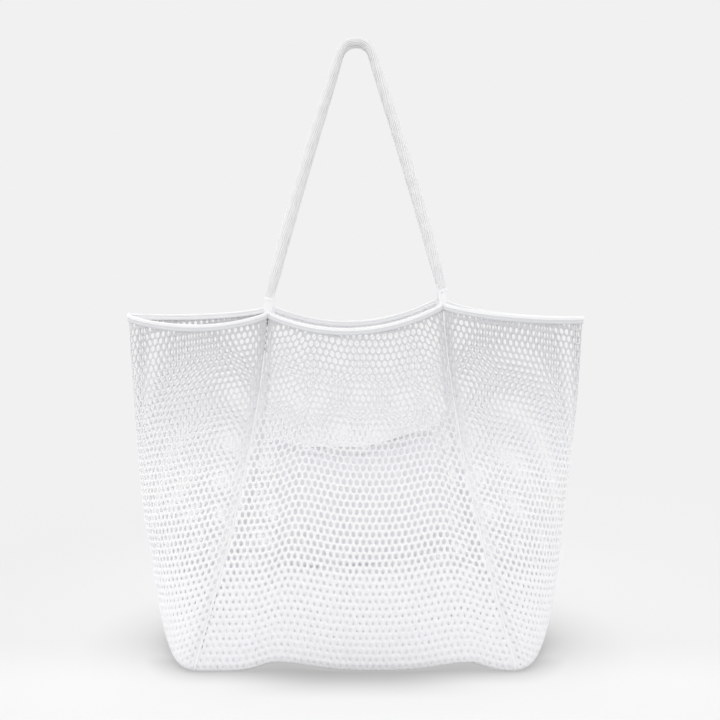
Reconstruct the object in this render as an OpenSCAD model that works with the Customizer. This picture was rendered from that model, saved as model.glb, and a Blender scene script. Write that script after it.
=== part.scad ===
// Mesh beach tote with two shoulder handles, standing open on its base.
// Millimetres, +Z up, the front faces -Y. The origin lies on the floor under the middle of the bag.

/* [Body] */
// Length of the base between its end seams
base_w = 346; // [260:1:420]
// Depth of the base, front to back
base_d = 190; // [140:1:240]
// Width of the mouth, corner to corner
mouth_w = 537; // [440:1:620]
// Depth of the mouth in the middle, front to back
mouth_d = 90; // [60:1:130]
// Height of the mouth's side corners above the floor
corner_h = 380; // [300:1:460]
// How far the front and back panels belly out at half height
belly = 6; // [0:0.5:12]
// Thickness of the mesh cloth
cloth_t = 1.2; // [0.8:0.1:2]
// Width left between the edges of two panels at a seam
seam_gap = 0.6; // [0.4:0.1:0.9]

/* [Hang of the cloth] */
// Drop of the rim between the ends of a handle
rim_dip = 24; // [10:1:40]
// Drop of the rim between the front left handle end and the left corner
left_rim_dip = 14; // [0:1:20]
// Drop of the rim on the other three side panel halves
side_rim_dip = 4; // [0:1:12]
// How much the right handle ends hang higher than the left ones
side_lean = 10; // [0:1:16]
// How much the back handle ends hang higher than the front ones
back_lean = 8; // [0:1:14]
// Height of the two waves along the base's long edges
hem_lift = 9; // [0:0.5:12]
// Half length of the left wave
left_wave = 34; // [20:1:44]
// Half length of the right wave
right_wave = 26; // [20:1:32]
// Depth of the swag fold that hangs between the front handle's ends
swag_depth = 7; // [0:0.5:10]
// Half width of that swag fold
swag_wide = 15; // [12:0.5:20]
// Height above the floor of the lowest point of that swag fold
swag_low = 240; // [200:1:270]
// Distance of that fold's upper ends below the mouth's corners
swag_start = 34; // [30:1:50]

/* [Side panels] */
// How far a side panel runs straight out from its seams, at the base
side_run_low = 34; // [24:1:44]
// How far a side panel runs straight out from its seams, at the rim
side_run_top = 28; // [20:1:36]
// How far a side panel draws in behind its seams, at the base
side_pinch = 2; // [0:0.5:6]
// How far a side panel fans out beyond its seams, at the rim
side_fan = 32; // [24:1:40]
// How far from its fold a side panel's halves close together, at the rim
side_close = 58; // [40:1:70]
// Half width of the soft fold in a side panel, at the base
side_fold_low = 50; // [40:1:60]
// Half width of the soft fold in a side panel, at the rim
side_fold_top = 34; // [26:1:42]

/* [Mesh openings] */
// Openings across each upright panel, a plain grid that stands for the far finer mesh
open_cols = 12; // [8:2:12]
// Openings from the base to the rim
open_rows = 12; // [8:1:12]
// Share of the distance between two openings that one opening takes
open_share = 0.6; // [0.4:0.05:0.65]

/* [Handles] */
// Half of the distance between the two ends of one handle
attach_x = 102; // [80:1:120]
// Distance of the handle seams from the middle plane at the rim
attach_y = 20; // [16:1:30]
// Height of the handle seams at the rim, mean of the four
attach_h = 394; // [320:1:470]
// Height of the top of the handles above the floor
top_h = 714; // [600:1:800]
// Diameter of a handle
handle_d = 11.2; // [9:0.2:14]
// Thickness of the mesh sleeve around a handle's filler cord
sleeve_t = 0.9; // [0.6:0.1:1.4]
// Radius of the bend at the top of a handle, at its middle line
bend_r = 24; // [20:1:34]
// Width of the flattened handle ends
tab_w = 9; // [6:0.5:12]
// Thickness of the flattened handle ends
tab_t = 2; // [1.6:0.1:2.4]
// Length of the flattened end below the rim
tab_l = 20; // [14:1:30]
// Height of the turning line of a handle above the rim seam
pivot_h = 10.5; // [10:0.5:14]
// Radius of the rolled neck that a handle turns on
neck_r = 3.6; // [3.4:0.1:4.2]
// Thread thickness of the bar tacks
tack_t = 0.8; // [0.5:0.1:1.2]
// Height of a bar tack
tack_h = 3; // [2:0.5:5]

/* [Binding and tapes] */
// Height of the binding around the rim
binding_h = 7; // [5:0.5:10]
// Thickness of the binding tape
binding_t = 0.7; // [0.5:0.1:1]
// Width of the tapes inside the seams
tape_w = 9; // [6:0.5:12]
// Thickness of the tapes inside the seams
tape_t = 0.8; // [0.5:0.1:1.2]

/* [Pocket] */
// Width of the inner pocket
pocket_w = 214; // [160:1:230]
// Height of the inner pocket
pocket_h = 170; // [120:1:190]
// Sideways place of the pocket's middle
pocket_x = 4; // [-10:1:6]
// Height of the pocket's lower edge above the floor
pocket_low = 69; // [60:1:90]
// Rise of the pocket's right end over its left end
pocket_rise = 25; // [0:1:30]
// Sag of the pocket's top edge
pocket_sag = 26; // [10:1:34]
// How much further out the pocket's lower right corner hangs
pocket_flare = 12; // [0:1:16]
// How far the pocket's mouth gapes
pocket_gape = 17; // [12:1:22]
// Thickness of the pocket cloth
pocket_t = 0.8; // [0.5:0.1:1.2]
// Height of the pocket's top hem
pocket_hem = 10; // [6:1:16]

/* [Hidden] */

clear = 0.3;           // air between two pieces that lie on each other
lay = 0.45;            // the same where one faceted curved sheet lies on another
front = -1;
back = 1;
left = -1;
right = 1;
row_ease = 1.15;       // rows of openings lie closer together near the base
fold_soft = 0.08;      // how softly a side panel turns at its fold
arch_sides = 8;        // flats around a handle
leg_steps = 13;        // steps along one leg of a handle
bend_steps = 8;        // steps around the top of a handle
mesh_white = [0.93, 0.94, 0.96];
tape_white = [0.97, 0.97, 0.98];
pocket_white = [0.9, 0.91, 0.93];

function mix(a, b, t) = a + (b - a) * t;
function unit(v) = v / norm(v);

// ---- the lines that the panels are cut and sewn along ----

// Height of the rim at one of the four handle seams
function attach_z(sx, sy) = attach_h + (side_lean * sx + back_lean * sy) / 2;

// The upright seam between the front or back panel and a side panel, v from base to rim
function seam(sx, sy, v) = [
    sx * mix(attach_x, base_w / 2, pow(1 - v, 1.6)),
    sy * mix(base_d / 2, attach_y, pow(v, 1.4)),
    mix(cloth_t, attach_z(sx, sy), v)];

// The two waves in which the long edges of the base lift off the floor
function wave(x, at, wide) = exp(-pow((x - at) / wide, 2));
function hem_wave(x) =
    hem_lift * (wave(x, -0.26 * base_w, left_wave) + wave(x, 0.36 * base_w, right_wave))
    * (1 - pow(abs(2 * x / base_w), 10));

// Distance from p to the line a-b, and to the hanging fold on the front panel
function line_dist(p, a, b) =
    let (t = max(0, min(1, ((p - a) * (b - a)) / ((b - a) * (b - a)))))
    norm(p - a - (b - a) * t);
swag_line = [
    [-0.82 * attach_x, corner_h - swag_start], [-0.62 * attach_x, mix(swag_low, corner_h, 0.35)],
    [-0.36 * attach_x, mix(swag_low, corner_h, 0.05)], [0, swag_low],
    [0.45 * attach_x, mix(swag_low, corner_h, 0.14)],
    [0.88 * attach_x, mix(swag_low, corner_h, 0.36)], [0.93 * attach_x, corner_h - swag_start]];
function swag(x, z) =
    let (d = min([for (i = [1:len(swag_line) - 1])
        line_dist([x, z], swag_line[i - 1], swag_line[i])]))
    swag_depth * exp(-pow(d / swag_wide, 2));

// ---- the panels, as the inner face of each sheet ----

// Front or back panel: u from the left seam (-1) to the right (1), v from base to rim
function panel(sy, u, v) =
    let (
        s = seam(right, sy, v),
        x = u * s.x,
        dip = rim_dip * (1 - u * u) * pow(v, 3),
        lift = hem_wave(x) * pow(1 - v, 6),
        z = mix(cloth_t, mix(attach_z(left, sy), attach_z(right, sy), (u + 1) / 2), v),
        out = (mouth_d / 2 - attach_y) * pow(v, 1.1) + belly * sin(180 * v),
        fold = sy == front ? swag(x, z - dip) * (1 - pow(abs(u), 8)) * (1 - pow(v, 12)) : 0)
    [x, s.y + sy * (out * (1 - u * u) + fold), z - dip + lift];

// Side panel: u from the front seam (-1) over the fold (0) to the back seam (1)
function soft_fold(a) =
    (sqrt(a * a + fold_soft * fold_soft) - fold_soft) / (sqrt(1 + fold_soft * fold_soft) - fold_soft);
function bezier(a, b, c, d, t) =
    a * pow(1 - t, 3) + 3 * b * t * pow(1 - t, 2) + 3 * c * t * t * (1 - t) + d * pow(t, 3);
function gusset(sx, u, v) =
    let (
        sy = u < 0 ? front : back,
        a = abs(u),
        tx = 1 - soft_fold(a),
        s = seam(sx, sy, v),
        out_x = mix(base_w / 2, mouth_w / 2, pow(v, 0.23)),
        run = mix(side_run_low, side_run_top, v) * pow(v, 0.08),
        x = bezier(abs(s.x), abs(s.x) + run, out_x - side_close * v, out_x, tx),
        y = bezier(abs(s.y), abs(s.y) + mix(-side_pinch, side_fan, v),
            mix(side_fold_low, side_fold_top, v), 0, 1 - a),
        drop = (sx == left && sy == front) ? left_rim_dip : side_rim_dip,
        z = mix(mix(cloth_t, corner_h, v), s.z, pow(a, 1.5)) - drop * sin(180 * a) * pow(v, 4))
    [sx * x, sy * y, z];

// Base: u along its length, w from the front edge (-1) to the back edge (1)
function base(u, w) =
    let (edge = max(0, (abs(w) - flat_base) / (1 - flat_base)))
    [u * base_w / 2, w * base_d / 2, cloth_t + hem_wave(u * base_w / 2) * edge * edge];

// Outward direction of a sheet at a point, from the two lines that cross there
step = 0.002;
function panel_out(sy, u, v) =
    let (lo = max(v - step, 0), hi = min(v + step, 1))
    unit(-sy * cross(panel(sy, u + step, v) - panel(sy, u - step, v),
        panel(sy, u, hi) - panel(sy, u, lo)));
function gusset_out(sx, u, v) =
    let (lo = max(v - step, 0), hi = min(v + step, 1), ua = max(u - step, -1), ub = min(u + step, 1))
    v == 0 ? [0, 0, -1] :
    unit(sx * cross(gusset(sx, ub, v) - gusset(sx, ua, v), gusset(sx, u, hi) - gusset(sx, u, lo)));

// The shared outward direction along an upright seam, so that two sheets never cross there
function seam_out(sx, sy, v) =
    unit(panel_out(sy, 0.999 * sx, max(v, 0.01)) + gusset_out(sx, 0.999 * sy, max(v, 0.01)));
function panel_dir(sy, u, v) = abs(u) > 0.99 ? seam_out(sign(u), sy, v) : panel_out(sy, u, v);
function gusset_dir(sx, u, v) =
    abs(u) > 0.99 && v > 0 ? seam_out(sx, sign(u), v) : gusset_out(sx, u, v);

// Where n openings in a row begin and end, from the start of the first (0) to the end of the last
function openings(n) =
    let (pitch = 1 / (n - 1 + open_share))
    [for (k = [0:n - 1]) each [k * pitch, (k + open_share) * pitch]];

// Rows of a panel, with a plain strip at the base and one under the binding
below_binding = 2;      // plain cloth between the binding and the first openings
rim_strip = (binding_h + below_binding) / corner_h;
base_strip = 0.03;
function rows() = concat([0],
    [for (t = openings(open_rows)) mix(base_strip, 1 - rim_strip, pow(t, row_ease))], [1]);

// Columns across a front or back panel, with a plain strip beside each seam. The outermost are
// set in by half of the seam gap.
panel_edge = 1 - seam_gap / 2 / attach_x;
panel_strip = (tab_w / 2 + 2 * clear) / attach_x;
function panel_cols() = concat([-panel_edge],
    [for (t = openings(open_cols)) mix(-1, 1, t) * (1 - panel_strip)], [panel_edge]);

// Columns of a side panel, which has a plain strip under each tape and a line along its fold
side_edge = 1 - seam_gap / 2 / norm([mouth_w / 2 - attach_x, attach_y]);
side_strip = 2 * (tape_w + seam_gap + clear) / base_d;
fold_strip = (1 - side_strip) * (1 - open_share) / (open_cols - 1 + open_share);
function side_half() = concat([side_edge],
    [for (t = openings(open_cols / 2)) mix(1 - side_strip, fold_strip, t)]);
function side_cols() = let (half = side_half(), n = len(half))
    concat(-half, [0], [for (k = [n - 1:-1:0]) half[k]]);

// Whether a cell of a panel is an opening: each second one, counted from both ends
function is_open(k, cells) = min(k, cells - 1 - k) % 2 == 1;

// Even columns across a sheet without openings
function cols(n, half) = [for (k = [0:n]) (2 * k / n - 1) * (1 - seam_gap / 2 / half)];

// ---- closed solids from grids of points ----

// A sheet between an inner and an outer grid. With closed set, its columns run round a tube, and
// with open set, it has an opening in each second cell of each second row.
module shell(inner, outer, flip = false, closed = false, open = false) {
    n = len(inner);
    m = len(inner[0]);
    last = closed ? m - 1 : m - 2;
    function hole(i, j) = open && is_open(i, n - 1) && is_open(j, m - 1);
    function at(side, i, j) = (side * n + i) * m + j % m;
    function quad(a, b, c, d) = flip ? [[a, c, b], [a, d, c]] : [[a, b, c], [a, c, d]];
    faces = [
        for (i = [0:n - 2], j = [0:last]) if (!hole(i, j))
            each quad(at(1, i, j), at(1, i + 1, j), at(1, i + 1, j + 1), at(1, i, j + 1)),
        for (i = [0:n - 2], j = [0:last]) if (!hole(i, j))
            each quad(at(0, i, j), at(0, i, j + 1), at(0, i + 1, j + 1), at(0, i + 1, j)),
        for (i = [0:n - 2], j = [0:last]) if (hole(i, j)) each concat(
            quad(at(1, i, j + 1), at(1, i, j), at(0, i, j), at(0, i, j + 1)),
            quad(at(1, i + 1, j), at(1, i + 1, j + 1), at(0, i + 1, j + 1), at(0, i + 1, j)),
            quad(at(1, i, j), at(1, i + 1, j), at(0, i + 1, j), at(0, i, j)),
            quad(at(1, i + 1, j + 1), at(1, i, j + 1), at(0, i, j + 1), at(0, i + 1, j + 1))),
        for (j = [0:last])
            each quad(at(1, 0, j), at(1, 0, j + 1), at(0, 0, j + 1), at(0, 0, j)),
        for (j = [0:last])
            each quad(at(1, n - 1, j + 1), at(1, n - 1, j), at(0, n - 1, j), at(0, n - 1, j + 1)),
        if (!closed) for (i = [0:n - 2])
            each quad(at(1, i + 1, 0), at(1, i, 0), at(0, i, 0), at(0, i + 1, 0)),
        if (!closed) for (i = [0:n - 2])
            each quad(at(1, i, m - 1), at(1, i + 1, m - 1), at(0, i + 1, m - 1), at(0, i, m - 1))];
    polyhedron([for (g = [inner, outer]) for (r = g) for (p = r) p], faces, convexity = 10);
}

// A bar whose rings of points follow each other, its ends closed by the convex loops in caps
module bar(rings, caps, flip = false) {
    n = len(rings);
    m = len(rings[0]);
    function turn(f) = flip ? [for (k = [len(f) - 1:-1:0]) f[k]] : f;
    faces = [
        for (i = [0:n - 2], j = [0:m - 1])
            each [turn([i * m + j, (i + 1) * m + j, (i + 1) * m + (j + 1) % m]),
                turn([i * m + j, (i + 1) * m + (j + 1) % m, i * m + (j + 1) % m])],
        for (c = caps) for (k = [1:len(c) - 2]) turn([c[0], c[k], c[k + 1]]),
        for (c = caps) for (k = [1:len(c) - 2])
            turn([c[0] + (n - 1) * m, c[k + 1] + (n - 1) * m, c[k] + (n - 1) * m])];
    polyhedron([for (r = rings) for (p = r) p], faces, convexity = 10);
}

// ---- the mesh panels ----

module face_panel(sy) {
    grid = [for (v = rows()) [for (u = panel_cols()) [u, v]]];
    inner = [for (r = grid) [for (g = r) panel(sy, g.x, g.y)]];
    outer = [for (r = grid) [for (g = r)
        panel(sy, g.x, g.y) + cloth_t * panel_dir(sy, g.x, g.y)]];
    shell(inner, outer, flip = sy == back, open = true);
}

module side_panel(sx) {
    grid = [for (v = rows()) [for (u = side_cols()) [u, v]]];
    inner = [for (r = grid) [for (g = r) gusset(sx, g.x, g.y)]];
    outer = [for (r = grid) [for (g = r)
        gusset(sx, g.x, g.y) + cloth_t * gusset_dir(sx, g.x, g.y)]];
    shell(inner, outer, flip = sx == left, open = true);
}

module front_panel() { color(mesh_white) face_panel(front); }
module back_panel() { color(mesh_white) face_panel(back); }
module left_gusset() { color(mesh_white) side_panel(left); }
module right_gusset() { color(mesh_white) side_panel(right); }

// Lines across the base, close together where its long edges lift
flat_base = 0.62;       // share of the base's half depth that lies flat on the floor
edge_lines = [flat_base, 0.72, 0.8, 0.87, 0.94, 1 - seam_gap / base_d];
base_lines = concat([for (k = [len(edge_lines) - 1:-1:0]) -edge_lines[k]], edge_lines);
base_cols = 30;         // cells along the base

module base_panel() {
    across = cols(base_cols, base_w / 2);
    outer = [for (w = base_lines) [for (u = across) base(u, w) - [0, 0, cloth_t]]];
    inner = [for (w = base_lines) [for (u = across) base(u, w)]];
    color(mesh_white) shell(inner, outer, flip = true);
}

// ---- the binding folded over the rim ----

// Its section, as [outward, upward] from the inner top edge of the cloth
bind_out = cloth_t + clear + binding_t;
bind_in = -clear - binding_t;
bind_top = clear + binding_t;
bind_section = [
    [bind_out, -binding_h], [bind_out, bind_top], [bind_in, bind_top], [bind_in, -binding_h],
    [bind_in + binding_t, -binding_h], [bind_in + binding_t, clear],
    [bind_out - binding_t, clear], [bind_out - binding_t, -binding_h]];
bind_caps = [[0, 1, 6, 7], [1, 2, 5, 6], [2, 3, 4, 5]];

// One ring of the section at a rim point, with the way up along the cloth there
function bind_ring(p, below, out) =
    let (up = unit(p - below), o = unit(out - up * (out * up)))
    [for (s = bind_section) p + o * s.x + up * s.y];

module face_binding(sy) {
    rings = [for (u = panel_cols())
        bind_ring(panel(sy, u, 1), panel(sy, u, 0.98), panel_dir(sy, u, 1))];
    color(tape_white) bar(rings, bind_caps, flip = sy == front);
}

module side_binding(sx) {
    rings = [for (u = side_cols())
        bind_ring(gusset(sx, u, 1), gusset(sx, u, 0.98), gusset_dir(sx, u, 1))];
    color(tape_white) bar(rings, bind_caps, flip = sx == right);
}

module front_binding() { face_binding(front); }
module back_binding() { face_binding(back); }
module left_binding() { side_binding(left); }
module right_binding() { side_binding(right); }

// ---- the tapes inside the seams ----

// An upright tape lies on the plain strip of the side panel beside the seam
function on_strip(sx, sy, v, beside, depth) =
    let (
        a = gusset(sx, sy * side_edge, v),
        b = gusset(sx, sy * (1 - side_strip), v))
    a + unit(b - a) * beside - depth * gusset_dir(sx, sy * (1 - side_strip / 2), v);
module seam_tape(sx, sy) {
    all_rows = rows();
    function face(depth) = [for (k = [1:len(all_rows) - 2])
        [for (beside = [clear, clear + tape_w]) on_strip(sx, sy, all_rows[k], beside, depth)]];
    color(tape_white) shell(face(lay + tape_t), face(lay), flip = sx * sy == right);
}

module front_left_seam_tape() { seam_tape(left, front); }
module front_right_seam_tape() { seam_tape(right, front); }
module back_left_seam_tape() { seam_tape(left, back); }
module back_right_seam_tape() { seam_tape(right, back); }

// A base tape lies on the base, along one of its edges
module base_tape(us, ws, flip) {
    function face(lift) = [for (w = ws) [for (u = us) base(u, w) + [0, 0, lift]]];
    color(tape_white) shell(face(lay + tape_t), face(lay), flip = flip);
}
long_edge = [for (k = [0:base_cols]) (2 * k / base_cols - 1) * (1 - 2 * (tape_w + 2) / base_w)];
across_tape = [1 - 2 * (tape_w + 1) / base_d, 1 - 2 / base_d];
end_edge = [for (w = base_lines) w * (1 - 2 / base_d)];
along_tape = [1 - 2 * (tape_w + 1) / base_w, 1 - 2 / base_w];

module front_base_tape() { base_tape(long_edge, [-across_tape[1], -across_tape[0]], true); }
module back_base_tape() { base_tape(long_edge, across_tape, true); }
module left_base_tape() { base_tape([-along_tape[1], -along_tape[0]], end_edge, true); }
module right_base_tape() { base_tape(along_tape, end_edge, true); }

// ---- the slip pocket on the inside of the back panel ----

// The place on the back panel that lies at x and z, found in a few rounds
function back_uv(x, z, u = 0, n = 6) =
    let (
        top = mix(attach_z(left, back), attach_z(right, back), (u + 1) / 2),
        v = back_v(z, u, top, (z - cloth_t) / top, 6),
        nu = x / seam(right, back, v).x)
    n == 0 ? [nu, v] : back_uv(x, z, nu, n - 1);
function back_v(z, u, top, v, n) =
    n == 0 ? v :
    back_v(z, u, top, (z - cloth_t + rim_dip * (1 - u * u) * pow(v, 3)) / (top - cloth_t), n - 1);
function back_y(x, z) = let (g = back_uv(x, z)) panel(back, g.x, g.y).y;

pocket_cols = 16;       // cells across the pocket
pocket_rows = 12;       // cells from its lower edge to its mouth
pocket_air = clear + 0.4;   // air between the pocket's cloth and the back panel
function pocket(u, v, depth) =
    let (
        x = pocket_x + u * pocket_w / 2 + pocket_flare * (1 - v) * (1 + u) / 2,
        sag = mix(0.45, 1, v) * pocket_sag * (1 - u * u),
        z = pocket_low + v * pocket_h + pocket_rise * u / 2 - sag,
        gape = pocket_gape * pow(1 - u * u, 0.8) * pow(v, 1.4))
    [x, back_y(x, z) - pocket_air - gape - depth, z];
function pocket_face(vs, depth) =
    [for (v = vs) [for (j = [0:pocket_cols]) pocket(2 * j / pocket_cols - 1, v, depth)]];

module pocket_panel() {
    vs = [for (i = [0:pocket_rows]) i / pocket_rows];
    color(pocket_white) shell(pocket_face(vs, pocket_t), pocket_face(vs, 0), flip = true);
}

module pocket_hem_tape() {
    vs = [1 - pocket_hem / pocket_h, 1];
    near = pocket_t + clear;
    color(pocket_white) shell(pocket_face(vs, near + tape_t), pocket_face(vs, near), flip = true);
}

// ---- the handles ----

// A handle's end lies inside the rim, on the seam, and the handle turns just above it
tab_in = clear + binding_t + clear + tab_t / 2;
pivot_y = attach_y - tab_in - clear;
function pivot_z(sx, sy) = attach_z(sx, sy) + pivot_h;

// Places a flat outline, drawn as [distance from the middle plane, height], across one corner
module across_corner(sx, sy, wide) {
    translate([sx * attach_x - wide / 2, 0, 0])
        rotate([90, 0, 90])
            linear_extrude(wide)
                scale_y(sy)
                    children();
}
module scale_y(sy) {
    if (sy == back) children();
    else mirror([1, 0]) children();
}

// Middle of the tab's thickness at a depth below the rim
function tab_y(sx, sy, depth) =
    abs(seam(sx, sy, 1 - depth / (attach_z(sx, sy) - cloth_t)).y) - attach_y + pivot_y;

module tab(sx, sy) {
    top = attach_z(sx, sy);
    across_corner(sx, sy, tab_w) {
        union() {
            polygon([
                [pivot_y - tab_t / 2, top + pivot_h], [pivot_y + tab_t / 2, top + pivot_h],
                [tab_y(sx, sy, 0) + tab_t / 2, top],
                [tab_y(sx, sy, tab_l) + tab_t / 2, top - tab_l],
                [tab_y(sx, sy, tab_l) - tab_t / 2, top - tab_l],
                [tab_y(sx, sy, 0) - tab_t / 2, top]]);
            translate([pivot_y, top + pivot_h]) circle(neck_r, $fn = 48);
        }
    }
}

module bartack(sx, sy) {
    top = attach_z(sx, sy);
    depth = tab_l - 2 * tack_h;
    function near(d) = tab_y(sx, sy, d) - tab_t / 2 - clear;
    across_corner(sx, sy, tab_w - 1)
        polygon([
            [near(depth), top - depth], [near(depth + tack_h), top - depth - tack_h],
            [near(depth + tack_h) - tack_t, top - depth - tack_h], [near(depth) - tack_t, top - depth]]);
}

module handle_tabs() {
    color(tape_white) for (sx = [left, right], sy = [front, back]) tab(sx, sy);
}
module handle_bartacks() {
    color(tape_white) for (sx = [left, right], sy = [front, back]) bartack(sx, sy);
}

// Middle line of a handle, as [sideways, above the turning line], from its left end to its top:
// a leg that leans in, then a round bend
handle_foot = neck_r + clear + tab_w * side_lean / (2 * attach_x);
bend_from = 17;         // degrees above level where a leg turns into the bend
function arch_half(rise) =
    let (
        a = [attach_x, handle_foot],
        c = [bend_r * cos(bend_from), rise - bend_r * (1 - sin(bend_from))],
        b = [mix(a.x, c.x, 0.235), mix(a.y, c.y, 0.32)])
    concat(
        [for (k = [0:leg_steps - 1]) let (t = k / leg_steps)
            a * pow(1 - t, 2) + 2 * b * t * (1 - t) + c * t * t],
        [for (k = [0:bend_steps - 1]) let (q = mix(bend_from, 90, k / bend_steps))
            [bend_r * cos(q), rise - bend_r * (1 - sin(q))]]);
function arch(rise) =
    let (half = arch_half(rise))
    concat([for (p = half) [-p.x, p.y]], [[0, rise]], [for (k = [len(half) - 1:-1:0]) half[k]]);

// The same line in the bag's frame: it leans in, and follows the slope of the rim
function handle_line(sy) =
    let (
        zl = pivot_z(left, sy),
        zr = pivot_z(right, sy),
        rise = top_h - handle_d / 2 - (zl + zr) / 2,
        top_y = handle_d / 2 + clear)
    [for (p = arch(rise)) [p.x, sy * mix(pivot_y, top_y, p.y / rise),
        mix(zl, zr, (p.x / attach_x + 1) / 2) + p.y]];

// Half width and half thickness of a handle: flat at its ends, round above
widen_len = 16;         // a handle is as wide as its round part from here on
thicken_len = 40;       // and as thick from here on
function ease(t) = let (c = max(0, min(1, t))) c * c * (3 - 2 * c);
function girth(along) = [
    mix(tab_w / 2, handle_d / 2, ease(along / widen_len)),
    mix(tab_t / 2 + clear, handle_d / 2, ease(along / thicken_len))];

// Rings around a handle's line, shrunk by depth, the section turning with the line
function arch_rings(sy, depth, from, to) =
    let (line = handle_line(sy), n = len(line) - 1)
    [for (i = [from:n - to])
        let (
            t = i == 0 ? [0, 0, 1] : i == n ? [0, 0, -1] : unit(line[i + 1] - line[i - 1]),
            fore = unit([0, 1, 0] - t * t.y),
            side = cross(fore, t),
            g = girth(min(norm(line[i] - line[0]), norm(line[i] - line[n]))))
        [for (k = [0:arch_sides - 1]) let (q = 360 * (k + 0.5) / arch_sides)
            line[i] + side * (g.x - depth) * cos(q) + fore * (g.y - depth) * sin(q)]];

module sleeve(sy) {
    color(mesh_white)
        shell(arch_rings(sy, sleeve_t, 0, 0), arch_rings(sy, 0, 0, 0), closed = true);
}
module core(sy) {
    rings = arch_rings(sy, sleeve_t + clear, 1, 1);
    color(tape_white) bar(rings, [[for (k = [0:arch_sides - 1]) k]]);
}
module front_handle_sleeve() { sleeve(front); }
module front_handle_core() { core(front); }
module back_handle_sleeve() { sleeve(back); }
module back_handle_core() { core(back); }

front_panel();
back_panel();
left_gusset();
right_gusset();
base_panel();
front_binding();
back_binding();
left_binding();
right_binding();
front_left_seam_tape();
front_right_seam_tape();
back_left_seam_tape();
back_right_seam_tape();
front_base_tape();
back_base_tape();
left_base_tape();
right_base_tape();
pocket_panel();
pocket_hem_tape();
handle_tabs();
handle_bartacks();
front_handle_sleeve();
front_handle_core();
back_handle_sleeve();
back_handle_core();
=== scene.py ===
"""Mesh beach tote with two shoulder handles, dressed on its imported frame."""
import math
import bpy
import bmesh
import numpy as np
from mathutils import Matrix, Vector


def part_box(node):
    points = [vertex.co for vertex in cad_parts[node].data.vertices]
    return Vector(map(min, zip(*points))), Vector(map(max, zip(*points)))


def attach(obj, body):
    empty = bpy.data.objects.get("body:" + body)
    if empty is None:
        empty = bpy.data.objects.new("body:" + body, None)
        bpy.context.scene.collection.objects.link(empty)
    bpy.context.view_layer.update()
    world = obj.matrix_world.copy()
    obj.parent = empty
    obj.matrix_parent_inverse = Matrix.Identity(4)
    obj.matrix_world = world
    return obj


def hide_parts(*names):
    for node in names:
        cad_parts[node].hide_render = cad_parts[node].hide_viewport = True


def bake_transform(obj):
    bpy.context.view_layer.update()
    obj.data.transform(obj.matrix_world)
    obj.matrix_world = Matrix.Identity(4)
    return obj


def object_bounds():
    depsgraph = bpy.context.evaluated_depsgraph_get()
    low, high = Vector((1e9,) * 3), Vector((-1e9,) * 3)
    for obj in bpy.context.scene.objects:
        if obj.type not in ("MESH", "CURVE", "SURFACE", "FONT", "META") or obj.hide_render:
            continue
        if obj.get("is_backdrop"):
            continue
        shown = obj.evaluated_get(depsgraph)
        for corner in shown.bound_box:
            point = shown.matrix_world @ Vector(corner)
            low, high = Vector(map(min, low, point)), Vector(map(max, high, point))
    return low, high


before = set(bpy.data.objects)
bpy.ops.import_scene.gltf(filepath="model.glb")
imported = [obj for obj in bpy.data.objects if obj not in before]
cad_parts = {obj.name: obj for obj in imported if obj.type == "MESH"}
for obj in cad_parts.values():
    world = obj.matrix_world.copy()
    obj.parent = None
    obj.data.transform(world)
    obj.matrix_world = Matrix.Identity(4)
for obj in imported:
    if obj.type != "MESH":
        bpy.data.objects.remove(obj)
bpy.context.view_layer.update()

# ---- camera ----
# The tote stands at arm's length from a level lens at the height of its rim, so the rim shows
# as one line and the base as a narrow strip. The frame sits a little low on the lens.
EYE_HEIGHT = 0.380
EYE_DISTANCE = 0.950
EYE_ASIDE = 0.0052
LENS, FILM, FILM_SHIFT = 40.0, 36.0, -0.0592
eye = bpy.data.objects.new("camera", bpy.data.cameras.new("camera"))
eye.data.sensor_width = FILM
eye.data.lens = LENS
eye.data.shift_y = FILM_SHIFT
eye.location = (EYE_ASIDE, -EYE_DISTANCE, EYE_HEIGHT)
eye.rotation_euler = (math.pi / 2, 0.0, 0.0)
bpy.context.scene.collection.objects.link(eye)
bpy.context.scene.camera = eye

# ---- studio ----
# A white table top that runs into a white wall with no line between them. The room is a light
# tent, brightest overhead and behind the tote, with a softbox at the back and one at each side.
WALL = (0.879, 0.879, 0.879)
# the table is paler before the tote than behind it: painted shade; DEEP_SHADE is its painted
# shadow
FLOOR_NEAR = (0.872, 0.872, 0.872)
FLOOR_BEHIND = (0.785, 0.785, 0.785)
FLOOR_FAR = (0.73, 0.73, 0.73)
DEEP_SHADE = (0.53, 0.53, 0.53)
TENT_LEVEL, TENT_OVERHEAD, TENT_BEHIND, TENT_LEFT = 1.065, 0.15, 0.08, 0.085
bpy.context.scene.view_settings.view_transform = "Standard"
# white openwork cloth passes light on from layer to layer many times
bpy.context.scene.cycles.max_bounces = 20
bpy.context.scene.cycles.diffuse_bounces = 16


def node(tree, kind, given=(), **settings):
    """Adds a node with these settings. A socket given for an input is linked, a value is set."""
    made = tree.nodes.new(kind)
    for key, value in settings.items():
        setattr(made, key, value)
    for key, value in dict(given).items():
        if isinstance(value, bpy.types.NodeSocket):
            tree.links.new(value, made.inputs[key])
        else:
            made.inputs[key].default_value = value
    return made


def calc(tree, operation, *terms):
    """The result of a Math node on sockets or numbers."""
    return node(tree, "ShaderNodeMath", enumerate(terms), operation=operation).outputs[0]


def vector_calc(tree, operation, *terms, out=0):
    """The result of a Vector Math node on sockets or vectors."""
    return node(tree, "ShaderNodeVectorMath", enumerate(terms), operation=operation).outputs[out]


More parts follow.
